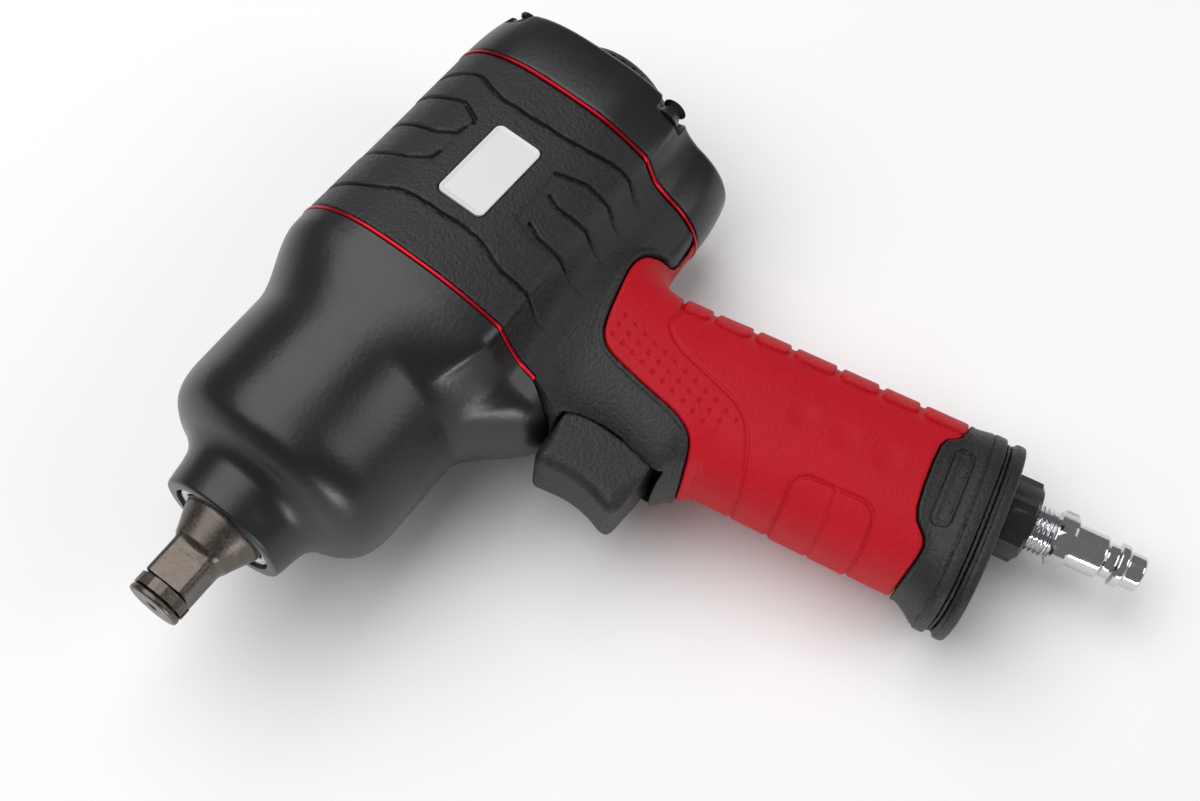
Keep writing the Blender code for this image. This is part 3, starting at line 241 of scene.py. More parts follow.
def on_handle(u=0.0, y=0.0):
    """Place (along, a, b) down the handle, shifted to u and y."""
    return lambda along, a, b: handle_point(along, u + a, y + b)


# ---------------------------------------------------------------- curves and outlines

def smooth_line(points, closed=False, steps=8):
    """A smooth line through the points, as a dense row of points."""
    points = np.array(points, float)
    if closed:
        padded = np.vstack([points[-1:], points, points[:2]])
    else:
        padded = np.vstack([2 * points[0] - points[1], points, 2 * points[-1] - points[-2]])
    share = np.linspace(0, 1, steps, endpoint=False)[:, None]
    runs = []
    for a, b, c, d in zip(padded, padded[1:], padded[2:], padded[3:]):
        runs.append(b + 0.5 * share * (c - a + share * (2 * a - 5 * b + 4 * c - d
                                                        + share * (3 * (b - c) + d - a))))
    if not closed:
        runs.append(padded[-2:-1])
    return np.vstack(runs)


def line_distance(a, b, line):
    """Distance of the points (a, b) from an open line."""
    best = np.full(a.shape, 1e9, np.float32)
    for (p, q), (r, s) in zip(line, line[1:]):
        run_a, run_b = r - p, s - q
        share = np.clip(((a - p) * run_a + (b - q) * run_b) / (run_a ** 2 + run_b ** 2), 0, 1)
        best = np.minimum(best, (a - p - share * run_a) ** 2 + (b - q - share * run_b) ** 2)
    return np.sqrt(best)


def outline_distance(a, b, outline):
    """Distance of the points (a, b) from a closed outline, negative inside it."""
    outline = np.array(outline, float)
    closed = np.vstack([outline, outline[:1]])
    inside = np.zeros(a.shape, bool)
    for (p, q), (r, s) in zip(closed, closed[1:]):
        if q != s:
            crossing = (b < q) != (b < s)
            inside ^= crossing & (a < (r - p) * (b - q) / (s - q) + p)
    distance = line_distance(a, b, closed)
    return np.where(inside, -distance, distance)


def step_up(value, low, high):
    """A soft step from 0 at low to 1 at high."""
    share = np.clip((value - low) / (high - low), 0, 1)
    return share * share * (3 - 2 * share)


def groove(distance, half_width, depth):
    """How deep a round-bottomed groove is at this distance from its line."""
    return depth * (1 - step_up(distance, 0.15 * half_width, half_width))


# ---------------------------------------------------------------- fields

def joined(a, b, blend):
    """Union of two fields with a fillet."""
    share = np.clip(0.5 + 0.5 * (b - a) / blend, 0, 1)
    return b + (a - b) * share - blend * share * (1 - share)


def shared(a, b, blend):
    """Common part of two fields with a rounded edge."""
    return -joined(-a, -b, blend)


def section_radii(half_width, top, lobe):
    """The barrel section's radius at each half degree from the top to the bottom."""
    angles = np.radians([0, 8, 16, 24, 32, 40, 48, 56, 66, 78, 90, SIDE_END])
    side = [(half_width * np.sin(a) ** (2 / SECTION_POWER),
             top * math.copysign(abs(math.cos(a)) ** (2 / SECTION_POWER), math.cos(a)))
            for a in angles]
    half = side + list(lobe)
    mirrored = [(-y, z) for y, z in reversed(half[1:-1])]
    line = smooth_line(half + mirrored, closed=True)[:len(half) * 8 - 7]
    turn = np.degrees(np.arctan2(line[:, 0], line[:, 1]))
    order = np.argsort(turn)
    return np.interp(DEGREES, turn[order], np.hypot(line[:, 0], line[:, 1])[order])


DEGREES = np.arange(0, 180.5, 0.5)
DEGREES_IN_RADIAN = 57.3
INSET = 0.16                  # keeps the skins inside the solids they stand for
FRONT_RADII = section_radii(FRONT_HALF_WIDTH, FRONT_TOP, FRONT_LOBE) - INSET
REAR_RADII = section_radii(REAR_HALF_WIDTH, REAR_TOP, REAR_LOBE) - INSET


def barrel_radius(x, turn):
    """Radius of the barrel's skin at station x, turn degrees from the top."""
    share = (HOUSING_FRONT - x) / (HOUSING_FRONT - HOUSING_BACK)
    front = np.interp(turn, DEGREES, FRONT_RADII)
    rear = np.interp(turn, DEGREES, REAR_RADII)
    return front + (rear - front) * np.clip(share, -0.2, 1.0)


def section_field(y, z, radius_at):
    """Roughly the distance from a skin whose radius follows the turn from the top, and the turn."""
    turn = np.degrees(np.arctan2(np.abs(y), z))
    radius = radius_at(turn)
    slope = (radius_at(np.minimum(turn + 1, 180)) - radius) * DEGREES_IN_RADIAN / radius
    return (np.hypot(y, z) - radius) / np.sqrt(1 + slope ** 2), turn


def barrel_field(x, y, z):
    """Roughly the distance from the barrel's plain skin, and the turn from the top."""
    return section_field(y, z, lambda turn: barrel_radius(x, turn))


def station_table(stations):
    """Smooth columns over the first column of the stations."""
    return smooth_line(stations, steps=6).T


HANDLE_TABLE = station_table(HANDLE_STATIONS)


def handle_field(w, u, y, table=HANDLE_TABLE):
    """Roughly the distance from the handle's plain skin."""
    front, back, half_width = (np.interp(w, table[0], column) for column in table[1:])
    reach = np.abs(u - (front - back) / 2) / ((front + back) / 2) + 1e-6
    side = np.abs(y) / half_width + 1e-6
    size = (reach ** HANDLE_POWER + side ** HANDLE_POWER) ** (1 / HANDLE_POWER)
    slope = np.hypot((reach / size) ** (HANDLE_POWER - 1) / ((front + back) / 2),
                     (side / size) ** (HANDLE_POWER - 1) / half_width)
    return (size - 1) / slope


def rounded(reach_a, reach_b):
    """Distance from two planes' common part, round outside their edge."""
    outside = np.hypot(np.maximum(reach_a, 0), np.maximum(reach_b, 0))
    return outside + np.minimum(np.maximum(reach_a, reach_b), 0)


def rounded_box(a, b, low_a, high_a, low_b, high_b, corner):
    """Distance from a rectangle with rounded corners, negative inside it."""
    reach_a = np.abs(a - (low_a + high_a) / 2) - (high_a - low_a) / 2 + corner
    reach_b = np.abs(b - (low_b + high_b) / 2) - (high_b - low_b) / 2 + corner
    return rounded(reach_a, reach_b) - corner


def rod_field(along, low, high, radius, *across):
    """A round bar from low to high; across are the two distances from its axis."""
    reach = np.maximum(low - along, along - high)
    return np.maximum(np.hypot(*across) - radius, reach)


# ---------------------------------------------------------------- meshes

CORNERS = np.array([(i, j, k) for i in (0, 1) for j in (0, 1) for k in (0, 1)])
EDGES = [(a, b) for a in range(8) for b in range(a + 1, 8)
         if np.abs(CORNERS[a] - CORNERS[b]).sum() == 1]
BLOCK = 8


def field_values(field, low, step, counts):
    """Field values on a grid, worked out in full only in the blocks near the skin."""
    blocks = [count // BLOCK for count in counts]
    size = step * BLOCK
    middles = np.meshgrid(*(low[i] + size * (np.arange(blocks[i]) + 0.5) for i in range(3)),
                          indexing="ij")
    coarse = field(*(m.ravel() for m in middles)).reshape(blocks)
    near = np.abs(coarse) < size * 1.25
    values = coarse.astype(np.float32)
    for axis in range(3):
        values = values.repeat(BLOCK, axis)
        near = near.repeat(BLOCK, axis)
    places = np.nonzero(near)
    points = [low[i] + step * places[i] for i in range(3)]
    fine = np.concatenate([field(*(p[start:start + 400000] for p in points))
                           for start in range(0, len(places[0]), 400000)])
    values[places] = fine
    return values


def skin_of(field, low, high, step):
    """Vertices and quads of the closed skin where the field is zero."""
    low = np.array(low, float) - step * 2
    counts = [int(math.ceil((h + step * 2 - l) / step / BLOCK)) * BLOCK for l, h in zip(low, high)]
    values = field_values(field, low, step, counts)
    inside = values < 0
    cells = tuple(slice(0, n - 1) for n in counts)
    total = np.zeros([n - 1 for n in counts], np.int8)
    for corner in CORNERS:
        total += inside[tuple(slice(c, c + n - 1) for c, n in zip(corner, counts))]
    active = np.nonzero((total > 0) & (total < 8))
    index = np.full(total.shape, -1, np.int64)
    index[active] = np.arange(len(active[0]))
    at_corner = np.array([values[tuple(active[i] + corner[i] for i in range(3))]
                          for corner in CORNERS])
    middle = np.zeros((len(active[0]), 3))
    hits = np.zeros(len(active[0]))
    for a, b in EDGES:
        crossed = (at_corner[a] < 0) != (at_corner[b] < 0)
        share = np.where(crossed, at_corner[a] / (at_corner[a] - at_corner[b] + 1e-12), 0)
        point = CORNERS[a] + (CORNERS[b] - CORNERS[a]) * share[:, None]
        middle += point * crossed[:, None]
        hits += crossed
    vertices = low + step * (np.stack(active, -1) + middle / hits[:, None])
    quads = []
    for axis in range(3):
        ahead = np.roll(inside, -1, axis)
        changed = inside != ahead
        changed[tuple(slice(-1, None) if i == axis else slice(None) for i in range(3))] = False
        for i in range(3):
            if i != axis:
                changed[tuple(slice(0, 1) if j == i else slice(None) for j in range(3))] = False
        place = np.stack(np.nonzero(changed), -1)
        right, up = [i for i in range(3) if i != axis]
        around = []
        for step_right, step_up_one in ((0, 0), (-1, 0), (-1, -1), (0, -1)):
            moved = place.copy()
            moved[:, right] += step_right
            moved[:, up] += step_up_one
            around.append(index[tuple(moved.T)])
        quad = np.stack(around, -1)
        flip = inside[tuple(place.T)] ^ (axis == 1)
        quad[~flip] = quad[~flip][:, ::-1]
        quads.append(quad)
    quads = np.vstack(quads)
    quads = quads[(quads >= 0).all(1)]
    return settle(field, vertices, step), quads


def settle(field, vertices, step, rounds=3):
    """Move the vertices onto the field's zero along its slope."""
    reach = step * 0.25
    for _ in range(rounds):
        value = field(*vertices.T)
        slope = np.stack([(field(*(vertices + offset).T) - field(*(vertices - offset).T)) / (2 * reach)
                          for offset in np.eye(3) * reach], -1)
        size = np.maximum((slope ** 2).sum(-1), 0.25)
        move = slope * (value / size)[:, None]
        vertices = vertices - np.clip(move, -step * 0.5, step * 0.5)
    return vertices


def revolve(profile, place, around=96, shape=None):
    """Turn (along, radius) points about an axis; shape may change the radius with the angle."""
    profile = np.array(profile, float)
    angles = 2 * math.pi * np.arange(around) / around
    rings = []
    for along, radius in profile:
        radii = np.full(around, radius)
        if shape and radius > 0:
            radii = shape(along, angles, radius)
        rings.append(place(along, radii * np.cos(angles), radii * np.sin(angles)))
    return band(rings, closed=profile[0][1] > 0)


def band(rings, closed):
    """Vertices and quads over rings of equal length; closed joins the last ring to the first."""
    count = len(rings[0])
    vertices = np.vstack(rings)
    quads = []
    last = len(rings) if closed else len(rings) - 1
    for i in range(last):
        a = i * count + np.arange(count)
        b = ((i + 1) % len(rings)) * count + np.arange(count)
        quads.append(np.stack([a, np.roll(a, -1), np.roll(b, -1), b], -1))
    return vertices, np.vstack(quads)


def softened(profile, radius=0.35, steps=3):
    """Round the corners of a profile by up to the radius."""
    points = [np.array(p, float) for p in profile]
    out = [points[0]]
    for before, corner, after in zip(points, points[1:], points[2:]):
        back = before - corner
        ahead = after - corner
        reach = min(radius, np.hypot(*back) * 0.45, np.hypot(*ahead) * 0.45)
        start = corner + back / np.hypot(*back) * reach
        end = corner + ahead / np.hypot(*ahead) * reach
        for share in np.linspace(0, 1, steps + 1):
            out.append((1 - share) ** 2 * start + 2 * share * (1 - share) * corner + share ** 2 * end)
    out.append(points[-1])
    return out


def new_mesh(name, vertices, quads, sharp):
    """A mesh in the row frame from vertices in the tool's frame."""
    matrix = np.array(TOOL)
    world = np.asarray(vertices) @ matrix[:3, :3].T + matrix[:3, 3]
    mesh = bpy.data.meshes.new(name)
    mesh.from_pydata(world.tolist(), [], [[int(v) for v in face] for face in quads])
    weld(mesh)
    mesh.shade_smooth()
    mesh.set_sharp_from_angle(angle=math.radians(sharp))
    return mesh


def weld(mesh):
    """Join points that fall together, drop faces without area and turn all faces outwards."""
    bm = bmesh.new()
    bm.from_mesh(mesh)
    bmesh.ops.remove_doubles(bm, verts=bm.verts, dist=1e-6)
    bmesh.ops.dissolve_degenerate(bm, edges=bm.edges, dist=1e-7)
    bmesh.ops.recalc_face_normals(bm, faces=bm.faces)
    bm.to_mesh(mesh)
    bm.free()


def add_piece(node, shape, body, slot, name=None, sharp=40):
    """Add a skin that rides on a body and stands for a CAD node."""
    vertices, quads = shape
    name = name or node + "_skin"
    piece = bpy.data.objects.new(name, new_mesh(name, vertices, quads, sharp))
    bpy.context.scene.collection.objects.link(piece)
    piece.data.materials.append(finish(slot))
    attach(piece, body)
    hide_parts(node)
    return piece


def fineness(step):
    return step * 1.0


# ---------------------------------------------------------------- motor housing

ARC = 0.62                    # millimetres of skin for each degree round the barrel
BARREL_BLEND = 6.0
CREASE_HALF_WIDTH = 0.8
CREASE_DEPTH = 1.35
PAD_FLOOR = 0.2
FADE_FROM = 136
FADE_TO = 156
# Creases and pads on the barrel's side as (x, degrees from the top)
FRONT_CREASE = ((-111, -10), (-111, 25), (-113, 46), (-115, 58), (-117.7, 67.6), (-118.3, 82.6),
                (-118.5, 105), (-115.6, 119), (-115.4, 132), (-114.5, 144), (-115.9, 160))
REAR_CREASE = ((-157, -10), (-157, 20), (-159.5, 38.8), (-161.2, 51.3), (-159, 61), (-157.6, 70),
               (-157.7, 88), (-158.6, 109), (-160.8, 121.5), (-161.9, 131), (-161.5, 139),
               (-160.7, 148), (-161.3, 165))
FRAMES = (((-129.8, 110), (-148.0, 110.5), (-151.4, 123), (-151.6, 136), (-150.6, 150),
           (-150.6, 175), (-127.5, 175), (-127.5, 135), (-127.6, 120)),
          ((-129.8, 68), (-147.6, 67.5), (-151.2, 57), (-150.2, 46), (-149.4, 30), (-149.4, -10),
           (-124.6, -10), (-124.6, 30), (-126.0, 46), (-127.4, 58)))
# The sharp creases of the pads: each frame's rear edge and each pad's front edge and end
PAD_CREASES = (((-148.0, 111), (-151.4, 123), (-151.6, 136), (-150.6, 150)),
               ((-141.6, 115.4), (-140.2, 121), (-141.4, 135), (-141.0, 150)),
               ((-131.4, 116.8), (-129.6, 123), (-129.8, 135), (-129.6, 150)),
               ((-146.4, 67.6), (-147.8, 66.6), (-151.2, 57), (-150.2, 46), (-149.4, 30), (-149.4, -10)),
               ((-144.2, 66.0), (-141.2, 65.0), (-138.6, 57), (-138.2, 46), (-137.6, 30), (-137.6, -10)),
               ((-133.8, 66.0), (-130.6, 65.0), (-127.6, 57), (-126.0, 46), (-125.4, 30), (-125.4, -10)))

BADGE_X = -137.0
BADGE_Z = 0.8
BADGE_LENGTH = 27.0
BADGE_HEIGHT = 14.5
BADGE_THICKNESS = 0.9
BADGE_PROUD = 0.25
BADGE_CORNER = 2.0
BADGE_SEAT_TOP = 5            # above the housing's skin
BADGE_TAPER = math.atan2(FRONT_HALF_WIDTH - REAR_HALF_WIDTH, HOUSING_FRONT - HOUSING_BACK)
BADGE_SURFACE = float(barrel_radius(BADGE_X, 90.0))

LIP_HEIGHT = 0.55
LIP_WIDTH = 1.9
EDGE_GAP = 0.18


def on_skin(points):
    """Points given as (x, degrees) in millimetres along the skin."""
    return [(x, degrees * ARC) for x, degrees in points]


CREASES = [smooth_line(on_skin(line), steps=4) for line in (FRONT_CREASE, REAR_CREASE)]
CREASES += [on_skin(line) for line in PAD_CREASES]
PAD_FRAMES = [on_skin(outline) for outline in FRAMES]
GRIP_EDGE = smooth_line(((-45, 57), (-33, 55), (-29.8, 51), (-26.6, 47.6), (-21.5, 46.0),
                         (-13, 46.2), (-3, 47.0), (2.2, 48.7), (5.7, 52.8), (9.7, 63.4),
                         (13.4, 74.1), (17.5, 80.0), (24.4, 82.2), (31.2, 83.2), (45, 84.6)), steps=4)
GRIP_FOOT = smooth_line(GRIP_LOW_EDGE, steps=3)
SEAT_OUTLINE = np.vstack([GRIP_EDGE, [(45, 190), (-45, 190)]])
GRIP_OUTLINE = np.vstack([GRIP_EDGE, GRIP_FOOT])
FOOT_OUTLINE = np.vstack([GRIP_FOOT, [(-45, 100), (45, 100)]])


def barrel_relief(x, turn):
    """Depth of the creases and of the floor round the pads."""
    arc = turn * ARC
    depth = np.zeros_like(x)
    for crease in CREASES:
        depth = np.maximum(depth, groove(line_distance(x, arc, crease), CREASE_HALF_WIDTH, CREASE_DEPTH))
    for outline in PAD_FRAMES:
        depth = depth + PAD_FLOOR * (1 - step_up(outline_distance(x, arc, outline), -0.9, 0.15))
    return depth * (1 - step_up(turn, FADE_FROM, FADE_TO))


def badge_seat(x, y, z):
    """The recess that the badge lies in, square to the housing's tapering side."""
    reach, rise = x - BADGE_X, y - BADGE_SURFACE
    along = reach * math.cos(BADGE_TAPER) + rise * math.sin(BADGE_TAPER)
    out = rise * math.cos(BADGE_TAPER) - reach * math.sin(BADGE_TAPER)
    half_length, half_height = BADGE_LENGTH / 2 + GAP, BADGE_HEIGHT / 2 + GAP
    outline = rounded_box(along, z - BADGE_Z, -half_length, half_length, -half_height, half_height,
                          BADGE_CORNER)
    floor = BADGE_PROUD - BADGE_THICKNESS - GAP
    return np.maximum.reduce([outline, floor - out, out - BADGE_SEAT_TOP])


def hull_field(x, y, z):
    """Barrel and handle as one skin, with the barrel's creases and pads."""
    barrel, turn = barrel_field(x, y, z)
    near = np.abs(barrel) < 4
    barrel[near] += barrel_relief(x[near], turn[near])
    barrel = np.maximum(barrel, x - HOUSING_FRONT - 0.5)
    w, u = to_handle(x, z)
    handle = np.maximum(handle_field(w, u, y), 12 - w)
    return joined(barrel, handle, BARREL_BLEND), w, u


def housing_field(x, y, z):
    """The black moulding: barrel shell, neck and the core inside the rubber."""
    hull, w, u = hull_field(x, y, z)
    seat = np.full_like(hull, 30.0)
    near = (np.abs(hull) < 6) & (w > 38)
    seat[near] = outline_distance(u[near], w[near], SEAT_OUTLINE)
    seat[(w > 90) & ~near] = -30.0
    lip = step_up(seat, 0.0, 0.5) * (1 - step_up(seat, LIP_WIDTH - 0.9, LIP_WIDTH))
    hull = hull - LIP_HEIGHT * lip
    body = shared(hull, EDGE_GAP - seat, 0.5)
    front = np.where(z > NECK_TOP, HOUSING_FRONT,
                     CASE_BACK - GAP + (NECK_TOP - z) * CHIN_REACH / CHIN_DEPTH)
    ahead = np.minimum(x - front, z - NECK_TOP + CHIN_DEPTH)
    body = shared(body, np.maximum(HOUSING_BACK - x, ahead), 0.4)
    core = np.maximum(hull + RUBBER + GAP / 2, np.maximum(w - CORE_END, CORE_TOP - w))
    body = np.minimum(body, np.maximum(core, ahead))
    bore = np.hypot(y, z) - MOTOR_BORE_R
    pocket = np.maximum.reduce([np.abs(y) - TRIGGER_HALF_WIDTH - 0.4, TRIGGER_LOW[0] - 5.5 - x,
                                TRIGGER_LOW[2] - 0.8 - z, z - TRIGGER_HIGH[2] - 0.7])
    valve = rod_field(x, VALVE_BACK, TRIGGER_LOW[0], VALVE_BORE_R, y, z - STEM_Z)
    duct = rod_field(w, DUCT_TOP, CORE_END + 1, DUCT_R, u - INLET_U, y)
    body = shared(body, -bore, 0.3)
    body = shared(body, -pocket, 0.8)
    body = np.maximum(body, -np.minimum(valve, duct))
    return shared(body, -badge_seat(x, y, z), 0.3)


# ---------------------------------------------------------------- rubber grip

REAR_RIB_U = -16.2
REAR_RIB_BREAKS = (62.5, 72.0, 83.8, 95.0, 108.4, 120.7, 132.6, 147.5)
FRONT_RIB_U = 13.5
FRONT_RIB = (108.6, 120.3, 132.0)
RIB_HEIGHT = 0.5
RIB_CORNER = 2.6
CONTOUR = smooth_line(((-40, 62.0), (-22, 62.6), (-15.9, 63.5), (-9.8, 62.6), (-4.4, 67.8),
                       (-0.2, 77.8), (3.9, 87.6), (10.0, 93.2), (22.6, 97.5), (33.1, 97.9),
                       (45, 98)), steps=4)
DENTS = ((-0.8, 104.5), (0.3, 116.9), (0.3, 128.8))
DENT_R = 5.2
DENT_DEPTH = 0.45
DIMPLE_R = 0.85
DIMPLE_DEPTH = 0.6
DIMPLE_START = (-6.45, 51.2)
DIMPLE_STEP = (1.33, 3.48)
DIMPLE_LINE = (3.31, -0.45)
DIMPLE_LINES = 3
DIMPLES_IN_LINE = 12
DIMPLE_MARGIN = 1.7


def dimples():
    """Places of the small pits in their rows between the grip's edge and its contour, as (u, w)."""
    places = []
    for line in range(DIMPLE_LINES):
        for step in range(DIMPLES_IN_LINE - line):
            u = DIMPLE_START[0] + step * DIMPLE_STEP[0] + line * DIMPLE_LINE[0]
            w = DIMPLE_START[1] + step * DIMPLE_STEP[1] + line * DIMPLE_LINE[1]
            if line_distance(np.array([u]), np.array([w]), GRIP_EDGE)[0] > DIMPLE_MARGIN:
                places.append((u, w))
    return places


DIMPLES = dimples()


def grip_relief(w, u):
    """Depth of the grip's ribs, contour, dents and dimples; ribs stand proud."""
    depth = groove(line_distance(u, w, CONTOUR), 0.9, 0.55)
    for low, high in zip(REAR_RIB_BREAKS, REAR_RIB_BREAKS[1:]):
        rib = rounded_box(u, w, -60, REAR_RIB_U, low + 0.45, high - 0.45, RIB_CORNER)
        depth = depth - RIB_HEIGHT * (1 - step_up(rib, -1.0, 0.0))
        depth = depth + groove(np.abs(rib), 0.7, 0.5)
    rib = rounded_box(u, w, FRONT_RIB_U, 60, FRONT_RIB[0], FRONT_RIB[2], 2 * RIB_CORNER)
    line = np.where(rib < 0, np.abs(w - FRONT_RIB[1]), 9.0)
    depth = depth - 0.7 * RIB_HEIGHT * (1 - step_up(rib, -1.2, 0.0))
    depth = depth + groove(np.minimum(np.abs(rib), line), 0.8, 0.5)
    for dent_u, dent_w in DENTS:
        reach = np.hypot(u - dent_u, w - dent_w) / DENT_R
        depth = depth + DENT_DEPTH * (1 - step_up(reach, 0.15, 1.0))
    for pit_u, pit_w in DIMPLES:
        reach = np.hypot(u - pit_u, w - pit_w) / DIMPLE_R
        depth = depth + DIMPLE_DEPTH * (1 - step_up(reach, 0.2, 1.0))
    return depth


def grip_field(x, y, z):
    """The red rubber sleeve."""
    hull, w, u = hull_field(x, y, z)
    skin = hull.copy()
    near = np.abs(hull) < 2.5
    skin[near] += grip_relief(w[near], u[near])
    outline = outline_distance(u, w, GRIP_OUTLINE)
    skin = shared(skin, outline + EDGE_GAP, 1.1)
    bore = np.hypot(y, z) - MOTOR_BORE_R - 1.0
    return np.maximum.reduce([skin, -(hull + RUBBER), -bore])


# ---------------------------------------------------------------- handle base

BASE_TABLE = station_table(((130, 25.6, 24.4, 19.0), (140, 25.7, 24.4, 19.0), (146, 26.1, 24.5, 19.1),
                            (150, 28.2, 24.9, 19.8), (153, 30.6, 25.3, 20.7), (154.5, 31.0, 25.3, 21.0),
                            (BASE_END, 31.0, 25.3, 21.0), (160, 31.0, 25.3, 21.0)))
LIP_TABLE = station_table(((150, 29.6, 24.0, 19.8), (158.2, 30.0, 24.2, 20.0), (159.4, 31.0, 25.0, 20.8),
                           (161.4, 31.0, 25.0, 20.8), (163, 30.2, 24.2, 20.0), (166, 30, 24, 20)))
INLET_HOLE_R = 8.4
FAR_BELOW = 200
LABEL = (-11.6, 11.9, GRIP_END - 1.9, GRIP_END + 3.9)
LABEL_DEPTH = 0.85
LABEL_RIM = 0.25
CHAMBER = (4.5, 22.5, -13.2, 13.2)
SLITS = 5
SLIT_PITCH = 4.8


def foot_cuts(w, u, y, top, floor):
    """The inlet's hole and the silencer's chamber."""
    hole = rod_field(w, top, FAR_BELOW, INLET_HOLE_R, u - INLET_U, y)
    chamber = np.maximum(rounded_box(u, y, *CHAMBER, 4.0), np.maximum(top - w, w - floor))
    return np.minimum(hole, chamber)


def base_field(x, y, z):
    """The base that closes the grip, with its label recess and rim."""
    w, u = to_handle(x, z)
    outer = handle_field(w, u, y, BASE_TABLE)
    label = rounded_box(u, w, *LABEL, 2.35)
    outer = outer + LABEL_DEPTH * (1 - step_up(label, -0.5, 0.1))
    outer = outer - LABEL_RIM * (1 - step_up(np.abs(label + 1.4), 0.2, 0.5))
    outer = outer + groove(np.abs(w - 152.9), 0.5, 0.45)
    above = np.full_like(outer, 30.0)
    near = np.abs(outer) < 8
    above[near] = outline_distance(u[near], w[near], FOOT_OUTLINE)
    lip = step_up(above, 0.0, 0.4) * (1 - step_up(above, 0.9, 1.5))
    body = shared(outer - 0.25 * lip, EDGE_GAP - above, 0.4)
    spigot = np.maximum(handle_field(w, u, y, BASE_TABLE) + RUBBER + GAP, np.abs(w - 145) - 5.2)
    body = shared(np.minimum(body, spigot), w - BASE_END, 0.7)
    body = np.maximum(body, CORE_END + GAP - w)
    return np.maximum(body, -foot_cuts(w, u, y, GRIP_END, FAR_BELOW))


def gasket_field(x, y, z):
    """The thin black gasket under the base."""
    w, u = to_handle(x, z)
    body = shared(handle_field(w, u, y, BASE_TABLE) + 1.2, np.abs(w - BASE_END - 0.8) - 0.5, 0.3)
    return np.maximum(body, -foot_cuts(w, u, y, 100, FAR_BELOW))


def deflector_field(x, y, z):
    """The exhaust deflector: a lipped plate with slits below the silencer."""
    w, u = to_handle(x, z)
    top = BASE_END + 1.6
    body = shared(handle_field(w, u, y, LIP_TABLE), np.maximum(top - w, w - DEFLECTOR_END), 0.6)
    body = np.maximum(body, -foot_cuts(w, u, y, 100, DEFLECTOR_END - 2.2))
    for k in range(SLITS):
        side = (k - (SLITS - 1) / 2) * SLIT_PITCH
        slit = rounded_box(u, y, CHAMBER[0] + 1.2, CHAMBER[1] - 1.2, side - 1.3, side + 1.3, 1.2)
        body = shared(body, -np.maximum(slit, DEFLECTOR_END - 4 - w), 0.3)
    return body


# ---------------------------------------------------------------- rear cap and trigger

def cap_field(x, y, z):
    """The rear cap with its four screw pockets, which break out at the corners."""
    back = np.clip((CAP_FRONT - x) / (CAP_FRONT - CAP_BACK), 0, 1.3)
    scale = 1 - CAP_TAPER * back ** 2.2
    skin, _ = section_field(y, z, lambda turn: np.interp(turn, DEGREES, REAR_RADII) * scale)
    body = shared(shared(skin, CAP_BACK - x, 2.2), x - CAP_FRONT, 0.5)
    room = rod_field(x, CAP_FLOOR, 0, CAP_ROOM_R, y, z)
    spool_hole = rod_field(x, CAP_BACK - 20, 0, SPOOL_R, y, z)
    body = np.maximum(body, -np.minimum(room, spool_hole))
    for screw_y, screw_z in SCREW_PLACES:
        pocket = rod_field(x, CAP_BACK - 5, SCREW_SEAT, SCREW_POCKET_R, y - screw_y, z - screw_z)
        body = shared(body, -pocket, 0.7)
    return body


TRIGGER_OUTLINE = smooth_line(((-93.6, -51.4), (-90.2, -51.9), (-88.4, -53.6), (-88.9, -56.6),
                               (-89.9, -61.0), (-90.3, -65.6), (-89.9, -70.2), (-89.1, -73.4),
                               (-88.7, -75.6), (-89.2, -77.4), (-91.5, -78.2), (-96, -78.3)), steps=4)
TRIGGER_ROUND = 3.8
TRIGGER_BACK_ROUND = 0.7
TRIGGER_ROUND_FROM = -103
TRIGGER_ROUND_TO = -94
SOCKET_DEPTH = 5.3
SOCKET_R = 2.8
SPRING_R = 4.2
SPRING_WIRE_R = 0.45
SPRING_TURNS = 3


def spring_shape(back, front):
    """A coil of round wire between two stations on the stem's axis."""
    turn = np.linspace(0, 2 * math.pi * SPRING_TURNS, 24 * SPRING_TURNS + 1)[:, None]
    side = np.arange(8) * math.pi / 4
    reach = SPRING_R + SPRING_WIRE_R * np.cos(side)
    along = front - SPRING_WIRE_R - (front - back - 2 * SPRING_WIRE_R) * turn / turn[-1]
    vertices = np.stack([along + SPRING_WIRE_R * np.sin(side), reach * np.cos(turn),
                         STEM_Z + reach * np.sin(turn)], -1).reshape(-1, 3)
    rings = len(turn)
    quads = [[ring * 8 + k, ring * 8 + (k + 1) % 8, ring * 8 + 8 + (k + 1) % 8, ring * 8 + 8 + k]
             for ring in range(rings - 1) for k in range(8)]
    quads += [list(range(8)), list(range(rings * 8 - 1, rings * 8 - 9, -1))]
    return vertices, quads


def trigger_field(x, y, z):
    """The trigger: flat sides, a hollowed front and rounded edges, with the stem's socket behind."""
    behind = [(TRIGGER_LOW[0], TRIGGER_OUTLINE[-1][1]), (TRIGGER_LOW[0], TRIGGER_HIGH[2])]
    outline = outline_distance(x, z, np.vstack([TRIGGER_OUTLINE, behind]))
    side = np.abs(y) - TRIGGER_HALF_WIDTH
    front = step_up(x, TRIGGER_ROUND_FROM, TRIGGER_ROUND_TO)
    rounding = TRIGGER_BACK_ROUND + (TRIGGER_ROUND - TRIGGER_BACK_ROUND) * front
    body = rounded(outline + rounding, side + rounding) - rounding
    socket = rod_field(x, TRIGGER_ROUND_FROM - 17, TRIGGER_LOW[0] + SOCKET_DEPTH, SOCKET_R, y, z - STEM_Z)
    return np.maximum(body, -socket)


# ---------------------------------------------------------------- anvil

